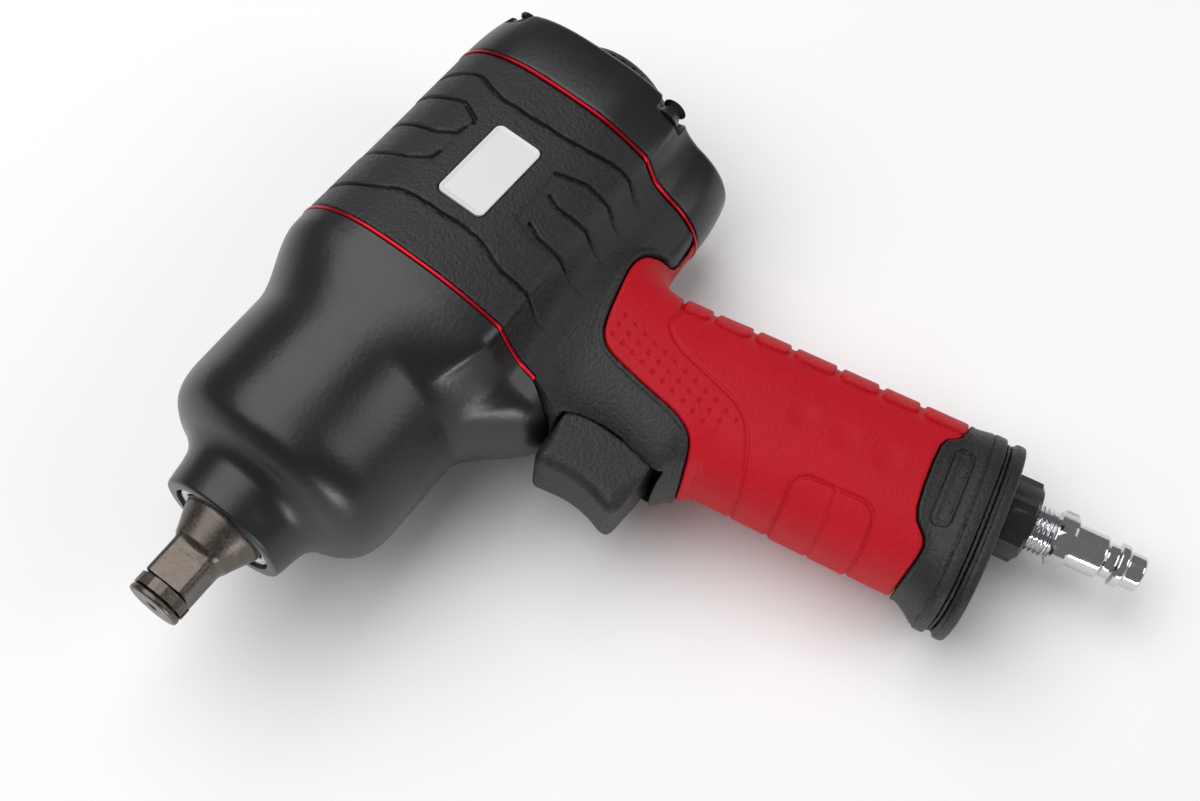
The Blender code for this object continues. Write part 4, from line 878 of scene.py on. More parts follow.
# Radii, and stations along the axis from the anvil's tip
DRIVE_AF = 12.7
DRIVE_BACK = -24
TIP_R = 7.6
TIP_BACK = -1.9
GROOVE_R = 5.4
GROOVE_BACK = -5.8
SHAFT_R = 11.8
SHAFT_FRONT = -15.5
SHAFT_BACK = -58
CORE_R = 8.6
CORE_BACK = -89.6
JOURNAL_R = 5.2
JOURNAL_BACK = -92.7
LUG_R = 12.1
LUG_HALF_WIDTH = 3.6
LUG_FRONT = -57.5
LUG_BACK = -88.9
CENTRE_HOLE_R = 1.9


def anvil_field(x, y, z):
    """Square drive, cone, shaft, lugs and journal."""
    away = np.hypot(y, z)
    square = joined(-(np.maximum(np.abs(y), np.abs(z)) - DRIVE_AF / 2),
                    -((np.abs(y) + np.abs(z)) / math.sqrt(2) - DRIVE_AF * 0.64), 0.5)
    square = shared(-square, np.maximum(x - GROOVE_BACK, DRIVE_BACK - x), 0.5)
    tip = shared(away - TIP_R, np.maximum(x, TIP_BACK - x), 0.9)
    neck = np.maximum(away - GROOVE_R, np.maximum(x + 1, -8 - x))
    radius = np.interp(x, (SHAFT_BACK, -26.2, -25.4, -18.2, -16.4), (SHAFT_R, SHAFT_R, 11.5, 8.4, 6.2))
    shaft = np.maximum((away - radius) * 0.92, np.maximum(x - SHAFT_FRONT, SHAFT_BACK - x))
    core = np.maximum(away - CORE_R, np.maximum(x + 50, CORE_BACK - x))
    journal = np.maximum(away - JOURNAL_R, np.maximum(x + 80, JOURNAL_BACK - x))
    lug = np.maximum.reduce([away - LUG_R, np.abs(y) - LUG_HALF_WIDTH, x - LUG_FRONT, LUG_BACK - x])
    body = np.minimum.reduce([tip, neck, core, journal, lug])
    body = np.minimum(body, joined(square, shaft, 2.2))
    return shared(body, (CENTRE_HOLE_R + x - away) * 0.7, 0.2)


# ---------------------------------------------------------------- turned and lofted skins

def around_barrel(step):
    """Directions right round the barrel: degrees from the top on either side, and radians."""
    turns = np.arange(0, 360, step)
    return np.where(turns > 180, 360 - turns, turns), np.radians(turns)


def barrel_ring(circle, x, radius):
    """One ring of points round the barrel; x and radius are numbers or follow the circle."""
    return np.stack(np.broadcast_arrays(x, radius * np.sin(circle), radius * np.cos(circle)), -1)


def divided(profile, parts):
    """A profile with each stretch cut into as many parts as parts(start, end) says."""
    out = []
    for (a, r), (b, s) in zip(profile, profile[1:]):
        count = parts(a, b)
        out += [(a + (b - a) * k / count, r + (s - r) * k / count) for k in range(count)]
    return [*out, profile[-1]]


def case_shape():
    """The hammer case: round nose, cylinder and a flange that flares to the barrel's section."""
    half, circle = around_barrel(1.25)
    flange = np.interp(half, DEGREES, FRONT_RADII)
    foot = -flange * np.cos(np.radians(180 - half)) * np.sign(half - 90).clip(0)
    back = CASE_BACK + np.clip(NECK_TOP - foot, 0, CHIN_DEPTH) * CHIN_REACH / CHIN_DEPTH
    nose = smooth_line(((NOSE_X - 0.9, NOSE_R), (NOSE_X - 3.5, NOSE_R + 0.4), (NOSE_X - 7, NOSE_R + 0.9),
                        (NOSE_X - 10.5, NOSE_R + 2.0), (NOSE_X - 13.4, NOSE_R + 5.0),
                        (NOSE_X - 16, NOSE_R + 9.8), (NOSE_X - 19.5, NOSE_R + 13.4),
                        (NOSE_X - 25, NOSE_R + 15.1), (NOSE_X - 33, CASE_R),
                        (CASE_BACK + FLARE_LENGTH + 2, CASE_R)), steps=6)
    rings = [(NOSE_X, NOSE_R - 0.9), (NOSE_X - 0.25, NOSE_R - 0.3), *nose]
    for share in np.linspace(0.03, 1, 34):
        x = CASE_BACK + FLARE_LENGTH + (back - CASE_BACK - FLARE_LENGTH) * share
        swell = step_up(FLARE_LENGTH + CASE_BACK - x, 0.5, FLARE_LENGTH - 3.5)
        rings.append((x, CASE_R + (flange - CASE_R) * swell))
    inside = ((CASE_BACK, CASE_CAVITY_R), (CASE_SHOULDER_X, CASE_CAVITY_R), (CASE_SHOULDER_X, 13.0),
              (NOSE_STEP_X, 13.0), (NOSE_STEP_X, NOSE_BORE_R), (NOSE_X, NOSE_BORE_R))
    rings += softened(inside, 0.3)
    return band([barrel_ring(circle, x, radius) for x, radius in rings], closed=True)


def seal_shape(radii, low, high, hole_r, floor):
    """A thin ring that follows the barrel's section, proud of it by a hair."""
    half, circle = around_barrel(1.0)
    outer = np.interp(half, DEGREES, radii) + SEAL_PROUD
    rings = []
    for x, inset in ((low, None), (low, SEAL_ROUND), (low + 0.2, 0), (high - 0.2, 0), (high, SEAL_ROUND),
                     (high, None)):
        ring = barrel_ring(circle, x, hole_r if inset is None else outer - inset)
        ring[:, 2] = np.maximum(ring[:, 2], floor)
        rings.append(ring)
    return band(rings, closed=True)


def hexagon(across_flats, low, high):
    """The radius of a hexagonal bar between two stations; round outside them."""
    def shape(along, angles, radius):
        inside = low - 1e-6 <= along <= high + 1e-6
        if not inside:
            return np.full(angles.shape, radius)
        flat = across_flats / 2 / np.cos((angles + math.pi / 6) % (math.pi / 3) - math.pi / 6)
        return np.minimum(flat, radius)
    return shape


def thread(low, high, pitch, depth, otherwise):
    """A helical thread between two stations on top of another shape."""
    def shape(along, angles, radius):
        if not low <= along <= high:
            return otherwise(along, angles, radius)
        phase = (along / pitch - angles / (2 * math.pi)) % 1.0
        ridge = np.abs(phase * 2 - 1)
        fade = min(1.0, (along - low) / pitch + 0.15, (high - along) / pitch + 0.15)
        return radius - depth * fade * (1 - np.clip(ridge * 1.5 - 0.25, 0, 1))
    return shape


THREAD_PITCH = 1.337
THREAD_DEPTH = 0.75


def plug_shape(hex_top, plug_end):
    """The quick-connect plug: thread, hexagon, barrel, neck, collar and tip, bored through."""
    start = plug_end - 25.2
    outside = softened([(hex_top + 1.6, 3.6), (hex_top + 1.6, 6.1), (hex_top + 2.1, 6.58),
                        (start - 1.0, 6.58), (start - 0.6, 5.7), (start - 0.3, 5.7)], 0.15)
    outside += [(start, 5.7), (start + 0.05, 7.0), (start + 0.8, 8.02), (start + 4.1, 8.02),
                (start + 4.85, 7.0), (start + 4.95, 6.3)]
    outside += softened([(start + 5.0, 6.0), (start + 13.7, 6.0), (start + 14.5, 4.8), (start + 17.3, 4.8),
                         (start + 17.7, 6.0), (start + 19.9, 6.0), (start + 20.3, 5.0),
                         (plug_end - 0.6, 5.0), (plug_end, 4.4), (plug_end, 3.6)], 0.4)

    def parts(a, b):
        """Fine steps along the thread, one step elsewhere."""
        return max(1, int(math.ceil((b - a) / 0.09))) if hex_top + 2 < a < start - 1.2 else 1
    plain = hexagon(14.0, start + 0.04, start + 4.9)
    ridges = thread(hex_top + 2.3, start - 1.0, THREAD_PITCH, THREAD_DEPTH, plain)
    return revolve(divided(outside, parts), on_handle(INLET_U), 96, ridges)


def bushing_shape(top, hex_top, hex_end):
    """The inlet bushing: a shank inside the handle and a black hexagon below it."""
    corner = 20.0 / math.sqrt(3)
    profile = [(top, 4.9), (top, 7.6), (top + 0.5, 8.1), (hex_top - 0.02, 8.1), (hex_top, corner - 1.6),
               (hex_top + 0.9, corner), (hex_end - 1.0, corner), (hex_end, corner - 1.7),
               (hex_end, 7.5), (hex_end - 0.5, 7.0), (hex_top + 1.2, 7.0), (hex_top + 1.2, 4.9)]
    return revolve(profile, on_handle(INLET_U), 120, hexagon(20.0, hex_top - 0.01, hex_end))


def case_screw_shape(y, z):
    """A cap screw's head with its hexagon socket, and the shank ahead of it."""
    seat = SCREW_SEAT - GAP
    head = seat - SCREW_HEAD_HEIGHT
    socket = 4.0 / math.sqrt(3)
    profile = [(SCREW_FRONT, 0.05), (SCREW_FRONT, 2.0), (SCREW_FRONT - 0.6, 2.4), (seat, 2.4),
               (seat, SCREW_HEAD_R), (head + 0.6, SCREW_HEAD_R), (head, SCREW_HEAD_R - 0.6),
               (head, socket + 0.25), (head + 0.25, socket), (head + 2.5, socket), (head + 2.5, 0.05)]
    return revolve(profile, on_barrel(y, z), 48, hexagon(4.0, head + 0.2, head + 2.5))


def dial_shape():
    """The round dial: a knurled rim, a dished face and the screw's recess."""
    front, back = DIAL_HIGH[0], DIAL_LOW[0]
    radius = DIAL_HIGH[1]
    profile = softened([(front, 4.4), (front, radius - 0.7), (front - 0.7, radius), (back + 2.6, radius),
                        (back + 0.9, radius - 1.0), (back, radius - 2.6), (back, radius - 4.6),
                        (back + 0.9, radius - 5.6), (back + 0.9, 6.2), (back + 0.2, 5.4), (back + 0.2, 4.6),
                        (back + 3.2, 4.6), (back + 3.2, 2.5), (front - 3.5, 2.5), (front - 3.5, 4.4)], 0.4)

    def knurl(along, angles, size):
        """Shallow flutes round the rim."""
        if size < radius - 0.3 or not back + 2.4 <= along <= front - 0.5:
            return np.full(angles.shape, size)
        return size - 0.55 * np.clip(np.cos(angles * DIAL_FLUTES) * 1.6 - 0.5, 0, 1)

    return revolve(divided(profile, lambda a, b: 4), on_barrel(), 360, knurl)


def dial_screw_shape():
    """The dial's screw."""
    front, back = DIAL_HIGH[0], DIAL_LOW[0]
    profile = softened([(front + 5.5, 0.05), (front + 5.5, 2.0), (back + 2.9, 2.0), (back + 2.9, 4.2),
                        (back + 1.0, 4.2), (back + 0.5, 3.7), (back + 0.5, 1.7), (back + 1.9, 1.7),
                        (back + 1.9, 0.05)], 0.2)
    return revolve(profile, on_barrel(), 48, hexagon(3.0, back + 0.6, back + 1.9))


def badge_shape():
    """A thin plate with a softened rim."""
    line = []
    for middle_a, middle_b, start in ((1, 1, 0), (-1, 1, 90), (-1, -1, 180), (1, -1, 270)):
        for degrees in range(start, start + 91, 9):
            angle = math.radians(degrees)
            line.append((middle_a * (BADGE_LENGTH / 2 - BADGE_CORNER),
                         middle_b * (BADGE_HEIGHT / 2 - BADGE_CORNER), math.cos(angle), math.sin(angle)))
    line = np.array(line)
    proud, foot = BADGE_PROUD, BADGE_PROUD - BADGE_THICKNESS
    rings = []
    for size, out in ((-BADGE_CORNER, foot), (0, foot), (0, proud - 0.18), (-0.18, proud),
                      (-0.9, proud), (-1.05, proud - 0.12), (-1.5, proud - 0.12)):
        along = line[:, 0] + line[:, 2] * (BADGE_CORNER + size)
        up = line[:, 1] + line[:, 3] * (BADGE_CORNER + size)
        x = BADGE_X + along * math.cos(BADGE_TAPER) - out * math.sin(BADGE_TAPER)
        y = BADGE_SURFACE + along * math.sin(BADGE_TAPER) + out * math.cos(BADGE_TAPER)
        rings.append(np.stack([x, y, BADGE_Z + up], -1))
    vertices, quads = band(rings, closed=False)
    return vertices, [*quads.tolist(), list(range(len(line))),
                      list(range(len(vertices) - len(line), len(vertices)))[::-1]]


# ---------------------------------------------------------------- shared shader groups

def shader_group(name, inputs, outputs):
    """An empty shader node group with its sockets; returns the group, its input and its output node."""
    group = bpy.data.node_groups.new(name, "ShaderNodeTree")
    for label, kind, value in inputs:
        socket = group.interface.new_socket(label, in_out="INPUT", socket_type=kind)
        socket.default_value = value
    for label, kind in outputs:
        group.interface.new_socket(label, in_out="OUTPUT", socket_type=kind)
    return group, group.nodes.new("NodeGroupInput"), group.nodes.new("NodeGroupOutput")


def math_node(tree, operation, first, second):
    """A Math node; each value is a number or a socket."""
    node = tree.nodes.new("ShaderNodeMath")
    node.operation = operation
    for socket, value in zip(node.inputs, (first, second)):
        if isinstance(value, (int, float)):
            socket.default_value = value
        else:
            tree.links.new(value, socket)
    return node.outputs[0]


def times(tree, first, second):
    """Product of two values."""
    return math_node(tree, "MULTIPLY", first, second)


def plus(tree, first, second):
    """Sum of two values."""
    return math_node(tree, "ADD", first, second)


def centred(tree, value):
    """A value from 0 to 1, moved to lie about 0."""
    return math_node(tree, "SUBTRACT", value, 0.5)


def noise(tree, coordinate, scale, detail=2.0, roughness=0.5):
    """A Noise texture; the scale is a number or a socket."""
    node = tree.nodes.new("ShaderNodeTexNoise")
    node.inputs["Detail"].default_value = detail
    node.inputs["Roughness"].default_value = roughness
    tree.links.new(coordinate, node.inputs["Vector"])
    if isinstance(scale, (int, float)):
        node.inputs["Scale"].default_value = scale
    else:
        tree.links.new(scale, node.inputs["Scale"])
    return node.outputs["Fac"]


def surface_grain():
    """Group: fine grain over slow patches, for colour, roughness and height."""
    group, given, out = shader_group(
        "Surface grain",
        (("Colour", "NodeSocketColor", (0.5, 0.5, 0.5, 1)), ("Tone", "NodeSocketFloat", 0.2),
         ("Roughness", "NodeSocketFloat", 0.5), ("Roughness spread", "NodeSocketFloat", 0.1),
         ("Grain scale", "NodeSocketFloat", 1000.0), ("Patch scale", "NodeSocketFloat", 40.0)),
        (("Colour", "NodeSocketColor"), ("Roughness", "NodeSocketFloat"), ("Height", "NodeSocketFloat")))
    place = group.nodes.new("ShaderNodeTexCoord").outputs["Object"]
    fine = noise(group, place, given.outputs["Grain scale"], 3.0, 0.6)
    patch = noise(group, place, given.outputs["Patch scale"], 3.0)
    both = plus(group, times(group, fine, 0.7), times(group, patch, 0.3))
    level = times(group, centred(group, both), given.outputs["Tone"])
    hue = group.nodes.new("ShaderNodeHueSaturation")
    group.links.new(given.outputs["Colour"], hue.inputs["Color"])
    group.links.new(plus(group, times(group, level, 4.0), 1.0), hue.inputs["Value"])
    shift = times(group, centred(group, both), given.outputs["Roughness spread"])
    rough = plus(group, given.outputs["Roughness"], times(group, shift, 4.0))
    group.links.new(hue.outputs["Color"], out.inputs["Colour"])
    group.links.new(rough, out.inputs["Roughness"])
    group.links.new(fine, out.inputs["Height"])
    return group


def coat_ripple():
    """Group: the slow ripple of a thick paint coat with a finer one on top."""
    group, given, out = shader_group(
        "Coat ripple", (("Ripple scale", "NodeSocketFloat", 700.0), ("Fine share", "NodeSocketFloat", 0.25)),
        (("Height", "NodeSocketFloat"), ("Mask", "NodeSocketFloat")))
    place = group.nodes.new("ShaderNodeTexCoord").outputs["Object"]
    slow = noise(group, place, given.outputs["Ripple scale"], 1.0, 0.4)
    quick = noise(group, place, times(group, given.outputs["Ripple scale"], 3.1), 1.0, 0.5)
    height = plus(group, slow, times(group, quick, given.outputs["Fine share"]))
    mask = noise(group, place, times(group, given.outputs["Ripple scale"], 0.06), 2.0)
    group.links.new(height, out.inputs["Height"])
    group.links.new(mask, out.inputs["Mask"])
    return group


def tool_marks():
    """Group: fine turning and grinding lines square to the tool's axis."""
    group, given, out = shader_group(
        "Tool marks", (("Line scale", "NodeSocketFloat", 2500.0), ("Waver", "NodeSocketFloat", 0.6)),
        (("Height", "NodeSocketFloat"), ("Mask", "NodeSocketFloat")))
    place = group.nodes.new("ShaderNodeTexCoord").outputs["Object"]
    turn = group.nodes.new("ShaderNodeVectorMath")
    turn.operation = "DOT_PRODUCT"
    turn.inputs[1].default_value = tuple(TOOL.to_3x3().col[0].normalized())
    group.links.new(place, turn.inputs[0])
    waver = times(group, noise(group, place, 220.0, 2.0), given.outputs["Waver"])
    along = times(group, turn.outputs["Value"], given.outputs["Line scale"])
    phase = plus(group, along, times(group, waver, 6.0))
    line = group.nodes.new("ShaderNodeTexNoise")
    line.noise_dimensions = "1D"
    line.inputs["Detail"].default_value = 2.0
    group.links.new(phase, line.inputs["W"])
    line.inputs["Scale"].default_value = 1.0
    group.links.new(line.outputs["Fac"], out.inputs["Height"])
    group.links.new(noise(group, place, 300.0, 4.0), out.inputs["Mask"])
    return group


GROUPS = {}


def group_node(tree, build, **values):
    """Place a shared group, built once, with its own values."""
    if build.__name__ not in GROUPS:
        GROUPS[build.__name__] = build()
    node = tree.nodes.new("ShaderNodeGroup")
    node.node_tree = GROUPS[build.__name__]
    for label, value in values.items():
        socket = node.inputs[label.replace("_", " ").capitalize()]
        if socket.type == "RGBA":
            value = (*value, 1.0)
        socket.default_value = value
    return node


# ---------------------------------------------------------------- finishes

def blank_finish(name):
    """A material with its Principled shader; returns the material, its tree and the shader."""
    material = bpy.data.materials.new(name)
    material.use_nodes = True
    tree = material.node_tree
    return material, tree, tree.nodes["Principled BSDF"]


def add_bump(tree, shader, height, depth):
    """A bump from a height socket; the depth is in millimetres."""
    bump = tree.nodes.new("ShaderNodeBump")
    bump.inputs["Distance"].default_value = depth * MM
    bump.inputs["Strength"].default_value = 1.0
    tree.links.new(height, bump.inputs["Height"])
    tree.links.new(bump.outputs["Normal"], shader.inputs["Normal"])


SHADER_SOCKETS = {"metallic": "Metallic", "specular_ior_level": "Specular IOR Level"}


def grained(name, colour, tone, roughness, spread, grain_mm, depth, patch_mm=25.0, **plain):
    """A moulded or cast surface with a fine grain; plain values go straight on the shader."""
    material, tree, shader = blank_finish(name)
    for label, value in plain.items():
        shader.inputs[SHADER_SOCKETS[label]].default_value = value
    node = group_node(tree, surface_grain, colour=colour, tone=tone, roughness=roughness,
                      roughness_spread=spread, grain_scale=1000.0 / grain_mm, patch_scale=1000.0 / patch_mm)
    tree.links.new(node.outputs["Colour"], shader.inputs["Base Color"])
    tree.links.new(node.outputs["Roughness"], shader.inputs["Roughness"])
    add_bump(tree, shader, node.outputs["Height"], depth)
    return material


def coated(name, colour, roughness, ripple_mm, depth):
    """Gloss paint with orange peel."""
    material, tree, shader = blank_finish(name)
    shader.inputs["Base Color"].default_value = (*colour, 1.0)
    node = group_node(tree, coat_ripple, ripple_scale=1000.0 / ripple_mm, fine_share=0.2)
    spread = times(tree, centred(tree, node.outputs["Mask"]), 0.25)
    tree.links.new(plus(tree, spread, roughness), shader.inputs["Roughness"])
    add_bump(tree, shader, node.outputs["Height"], depth)
    return material


def machined(name, colour, roughness, line_mm, depth, tone=0.25):
    """Metal with turning lines and slow stains."""
    material, tree, shader = blank_finish(name)
    shader.inputs["Metallic"].default_value = 1.0
    lines = group_node(tree, tool_marks, line_scale=1000.0 / line_mm)
    grain = group_node(tree, surface_grain, colour=colour, tone=tone, roughness=roughness,
                       roughness_spread=0.12, grain_scale=1200.0, patch_scale=120.0)
    tree.links.new(grain.outputs["Colour"], shader.inputs["Base Color"])
    shift = times(tree, centred(tree, lines.outputs["Mask"]), 0.2)
    tree.links.new(plus(tree, grain.outputs["Roughness"], shift), shader.inputs["Roughness"])
    add_bump(tree, shader, lines.outputs["Height"], depth)
    return material


def make_finishes(looks):
    """Every finish by its slot."""
    return {
        "black_paint": coated("Black gloss coat", looks.case_colour, looks.case_roughness, 1.3, 0.045),
        "black_moulding": grained("Black glass-filled moulding", looks.moulding_colour, 0.35,
                                  looks.moulding_roughness, 0.16, 1.0, 0.32, 18.0, specular_ior_level=0.36),
        "black_rubber": grained("Smooth black rubber", (0.010, 0.010, 0.011), 0.2, 0.5, 0.1, 0.4, 0.02),
        "red_rubber": grained("Soft red rubber", looks.rubber_colour, 0.12, looks.rubber_roughness,
                              0.10, 0.95, 0.24, 20.0, specular_ior_level=0.2),
        "red_anodised": grained("Red anodising", (0.42, 0.008, 0.02), 0.15, 0.32, 0.1, 0.3, 0.01,
                                metallic=0.9),
        "dark_steel": machined("Phosphated steel", (0.115, 0.098, 0.085), 0.36, 0.35, 0.03, 0.4),
        "black_steel": grained("Black oxide steel", (0.022, 0.022, 0.024), 0.3, 0.3, 0.14, 0.3, 0.02,
                               metallic=0.35),
        "bright_steel": machined("Ground steel", (0.58, 0.58, 0.59), 0.28, 0.2, 0.015),
        "chrome": machined("Bright plate", (0.62, 0.62, 0.64), 0.09, 0.5, 0.006, 0.04),
        "bronze": machined("Sintered bronze", (0.50, 0.34, 0.18), 0.45, 0.4, 0.02),
        "phenolic": grained("Cloth-reinforced phenolic", (0.28, 0.16, 0.08), 0.3, 0.5, 0.1, 0.5, 0.04),
        "badge_white": grained("Satin white plate", (0.66, 0.66, 0.67), 0.03, 0.35, 0.06, 0.6, 0.01),
        "grey_felt": grained("Grey felt", (0.30, 0.30, 0.30), 0.5, 0.9, 0.1, 0.35, 0.2),
    }


FINISHES = {}


def finish(slot):
    """The finish for a slot, built on first use."""
    if not FINISHES:
        FINISHES.update(make_finishes(bpy.context.scene.wrench_looks))
    return FINISHES[slot]


# ---------------------------------------------------------------- settings

def colour_setting(name, about, default):
    """A colour setting."""
    return FloatVectorProperty(name=name, description=about, default=default, subtype="COLOR",
                               size=3, min=0, max=1)


def share_setting(name, about, default):
    """A setting from 0 to 1."""
    return FloatProperty(name=name, description=about, default=default, subtype="FACTOR", min=0, max=1)


def step_setting(name, piece, default, least):
    """A setting for the fineness of one kind of skin."""
    about = f"Size of one facet of {piece}, in millimetres"
    return FloatProperty(name=name, description=about, default=default, min=least, max=3)


class WrenchLooks(bpy.types.PropertyGroup):
    """Colours and gloss of the visible finishes."""

    case_colour: colour_setting("Case colour", "Colour of the coat on the hammer case",
                                (0.006, 0.0065, 0.0075))
    case_roughness: share_setting("Case roughness", "Roughness of the coat on the hammer case", 0.33)
    moulding_colour: colour_setting("Moulding colour", "Colour of the black plastic",
                                    (0.0135, 0.014, 0.0155))
    moulding_roughness: share_setting("Moulding roughness", "Roughness of the black plastic", 0.44)
    rubber_colour: colour_setting("Rubber colour", "Colour of the grip's rubber", (0.45, 0.0028, 0.011))
    rubber_roughness: share_setting("Rubber roughness", "Roughness of the grip's rubber", 0.52)


class WrenchSizes(bpy.types.PropertyGroup):
    """Fineness of the skins that are drawn from fields."""

    housing_step: step_setting("Housing step", "the motor housing", 0.48, 0.3)
    grip_step: step_setting("Grip step", "the rubber grip", 0.42, 0.3)
    fitting_step: step_setting("Fitting step", "the smaller fittings", 0.5, 0.2)
    anvil_step: step_setting("Anvil step", "the anvil", 0.4, 0.2)


class WrenchStudio(bpy.types.PropertyGroup):
    """The stage round the tool."""

    floor_colour: colour_setting("Floor colour", "Colour of the floor", (0.93, 0.93, 0.93))
    key_power: FloatProperty(
        name="Key light", description="Power of the main soft light", default=12.0, unit="POWER", min=0)
    side_power: FloatProperty(
        name="Side light", description="Power of the narrow side light", default=5.0, unit="POWER", min=0)
    world_level: FloatProperty(
        name="Surroundings", description="Brightness of the surroundings", default=0.2, min=0)
    focal_length: FloatProperty(
        name="Focal length", description="Camera's focal length in millimetres", default=53.2, min=10)


# ---------------------------------------------------------------- operators

def read_span(node):
    """Short form for the two x limits of a CAD node in the tool's frame."""
    low, high = span(node)
    return low[0], high[0]


def handle_span(node):
    """Lowest and highest w of a CAD node."""
    points = node_points(node)
    w = to_handle(points[:, 0], points[:, 2])[0]
    return w.min(), w.max()


def field_piece(field, node, body, slot, step, sharp=50, reach=1.0):
    """A piece whose skin is drawn from a field round the box of its CAD node."""
    low, high = span(node)
    shape = skin_of(field, low - reach, high + reach, fineness(step))
    return add_piece(node, shape, body, slot, sharp=sharp)


class BuildsPieces:
    """What the operators share: each one's build() adds its pieces."""

    def execute(self, context):
        self.build(context.scene, context.scene.wrench_sizes)
        return {"FINISHED"}


class WRENCH_OT_inner_finishes(BuildsPieces, bpy.types.Operator):
    """Give every CAD node its finish, for those that stay in view and those inside"""
    bl_idname = "wrench.inner_finishes"
    bl_label = "Inner finishes"

    def build(self, scene, sizes):
        colours = {material["slot"] for material in frame["record"]["materials"]}
        for name, node in frame["nodes"].items():
            slots = [m.name for m in node.data.materials if m]
            wanted = [s for s in colours if any(s in label for label in slots)]
            if not wanted:
                raise RuntimeError(f"no finish for {name}: {slots}")
            node.data.materials.clear()
            node.data.materials.append(finish(wanted[0]))


class WRENCH_OT_hammer_case(BuildsPieces, bpy.types.Operator):
    """Add the gloss hammer case"""
    bl_idname = "wrench.hammer_case"
    bl_label = "Hammer case"

    def build(self, scene, sizes):
        add_piece("hammer_case", case_shape(), "root", "black_paint", sharp=45)
        low, high = read_span("anvil_bush")
        profile = softened([(low, 12.2), (low, 14.8), (high - 0.6, 14.8), (high, 14.2), (high, 12.8),
                            (high - 0.6, 12.2), (low + 1, 12.2)], 0.2)
        add_piece("anvil_bush", revolve(profile[:-1], on_barrel(), 96), "root", "bright_steel")


class WRENCH_OT_anvil(BuildsPieces, bpy.types.Operator):
    """Add the anvil with its square drive"""
    bl_idname = "wrench.anvil"
    bl_label = "Anvil"

    def build(self, scene, sizes):
        field_piece(anvil_field, "anvil", "anvil", "dark_steel", sizes.anvil_step, 35)


class WRENCH_OT_motor_housing(BuildsPieces, bpy.types.Operator):
    """Add the black motor housing and handle core"""
    bl_idname = "wrench.motor_housing"
    bl_label = "Motor housing"

    def build(self, scene, sizes):
        field_piece(housing_field, "motor_housing", "root", "black_moulding", sizes.housing_step)


class WRENCH_OT_badge(BuildsPieces, bpy.types.Operator):
    """Add the blank plate on the housing's side"""
    bl_idname = "wrench.badge"
    bl_label = "Badge plate"

    def build(self, scene, sizes):
        add_piece("badge_plate", badge_shape(), "root", "badge_white", name="badge_skin")


class WRENCH_OT_seals(BuildsPieces, bpy.types.Operator):
    """Add the two red seals of the barrel"""
    bl_idname = "wrench.seals"
    bl_label = "Seals"

    def build(self, scene, sizes):
        for node, radii, hole_r, floor in (("front_seal", FRONT_RADII, MOTOR_BORE_R, NECK_TOP),
                                           ("rear_seal", REAR_RADII, MOTOR_BORE_R - 0.3, -60)):
            low, high = read_span(node)
            add_piece(node, seal_shape(radii, low, high, hole_r, floor), "root", "red_anodised")


class WRENCH_OT_rear_cap(BuildsPieces, bpy.types.Operator):
    """Add the rear cap"""
    bl_idname = "wrench.rear_cap"
    bl_label = "Rear cap"

    def build(self, scene, sizes):
        field_piece(cap_field, "rear_cap", "root", "black_paint", sizes.fitting_step, reach=0.5)


class WRENCH_OT_case_screws(BuildsPieces, bpy.types.Operator):
    """Add the four long cap screws"""
    bl_idname = "wrench.case_screws"
    bl_label = "Case screws"

    def build(self, scene, sizes):
        for number, (y, z) in enumerate(SCREW_PLACES, 1):
            add_piece(f"case_screw_{number}", case_screw_shape(y, z), "root", "black_steel")


class WRENCH_OT_dial(BuildsPieces, bpy.types.Operator):
    """Add the round dial and its screw"""
    bl_idname = "wrench.dial"
    bl_label = "Dial"

    def build(self, scene, sizes):
        add_piece("dial", dial_shape(), "dial", "black_moulding")
        add_piece("dial_screw", dial_screw_shape(), "dial", "bright_steel")


class WRENCH_OT_trigger(BuildsPieces, bpy.types.Operator):
    """Add the trigger"""
    bl_idname = "wrench.trigger"
    bl_label = "Trigger"

    def build(self, scene, sizes):
        field_piece(trigger_field, "trigger", "trigger", "black_moulding", sizes.fitting_step * 0.8)


class WRENCH_OT_throttle_spring(BuildsPieces, bpy.types.Operator):
    """Add the valve's return spring, with a mesh of its own"""
    bl_idname = "wrench.throttle_spring"
    bl_label = "Throttle spring"

    def build(self, scene, sizes):
        low, high = span("throttle_spring")
        piece = add_piece("throttle_spring", spring_shape(low[0], high[0]), "root", "bright_steel")
        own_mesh(piece)


class WRENCH_OT_rubber_grip(BuildsPieces, bpy.types.Operator):
    """Add the red rubber grip"""
    bl_idname = "wrench.rubber_grip"
    bl_label = "Rubber grip"

    def build(self, scene, sizes):
        field_piece(grip_field, "rubber_grip", "root", "red_rubber", sizes.grip_step)


class WRENCH_OT_handle_base(BuildsPieces, bpy.types.Operator):
    """Add the base, its gasket and the exhaust deflector"""
    bl_idname = "wrench.handle_base"
    bl_label = "Handle base"

    def build(self, scene, sizes):
        field_piece(base_field, "handle_base", "root", "black_moulding", sizes.fitting_step)
        field_piece(gasket_field, "base_gasket", "root", "black_rubber", sizes.fitting_step)
        field_piece(deflector_field, "exhaust_deflector", "root", "black_moulding", sizes.fitting_step)


class WRENCH_OT_air_inlet(BuildsPieces, bpy.types.Operator):
    """Add the inlet bushing and the air plug"""
    bl_idname = "wrench.air_inlet"
    bl_label = "Air inlet"

    def build(self, scene, sizes):
        top, hex_end = handle_span("inlet_bushing")
        plug_top, plug_end = handle_span("air_plug")
        add_piece("inlet_bushing", bushing_shape(top, DEFLECTOR_END + GAP, hex_end), "root",
                  "black_steel", sharp=30)
        add_piece("air_plug", plug_shape(plug_top - 1.6, plug_end), "root", "chrome", sharp=30)


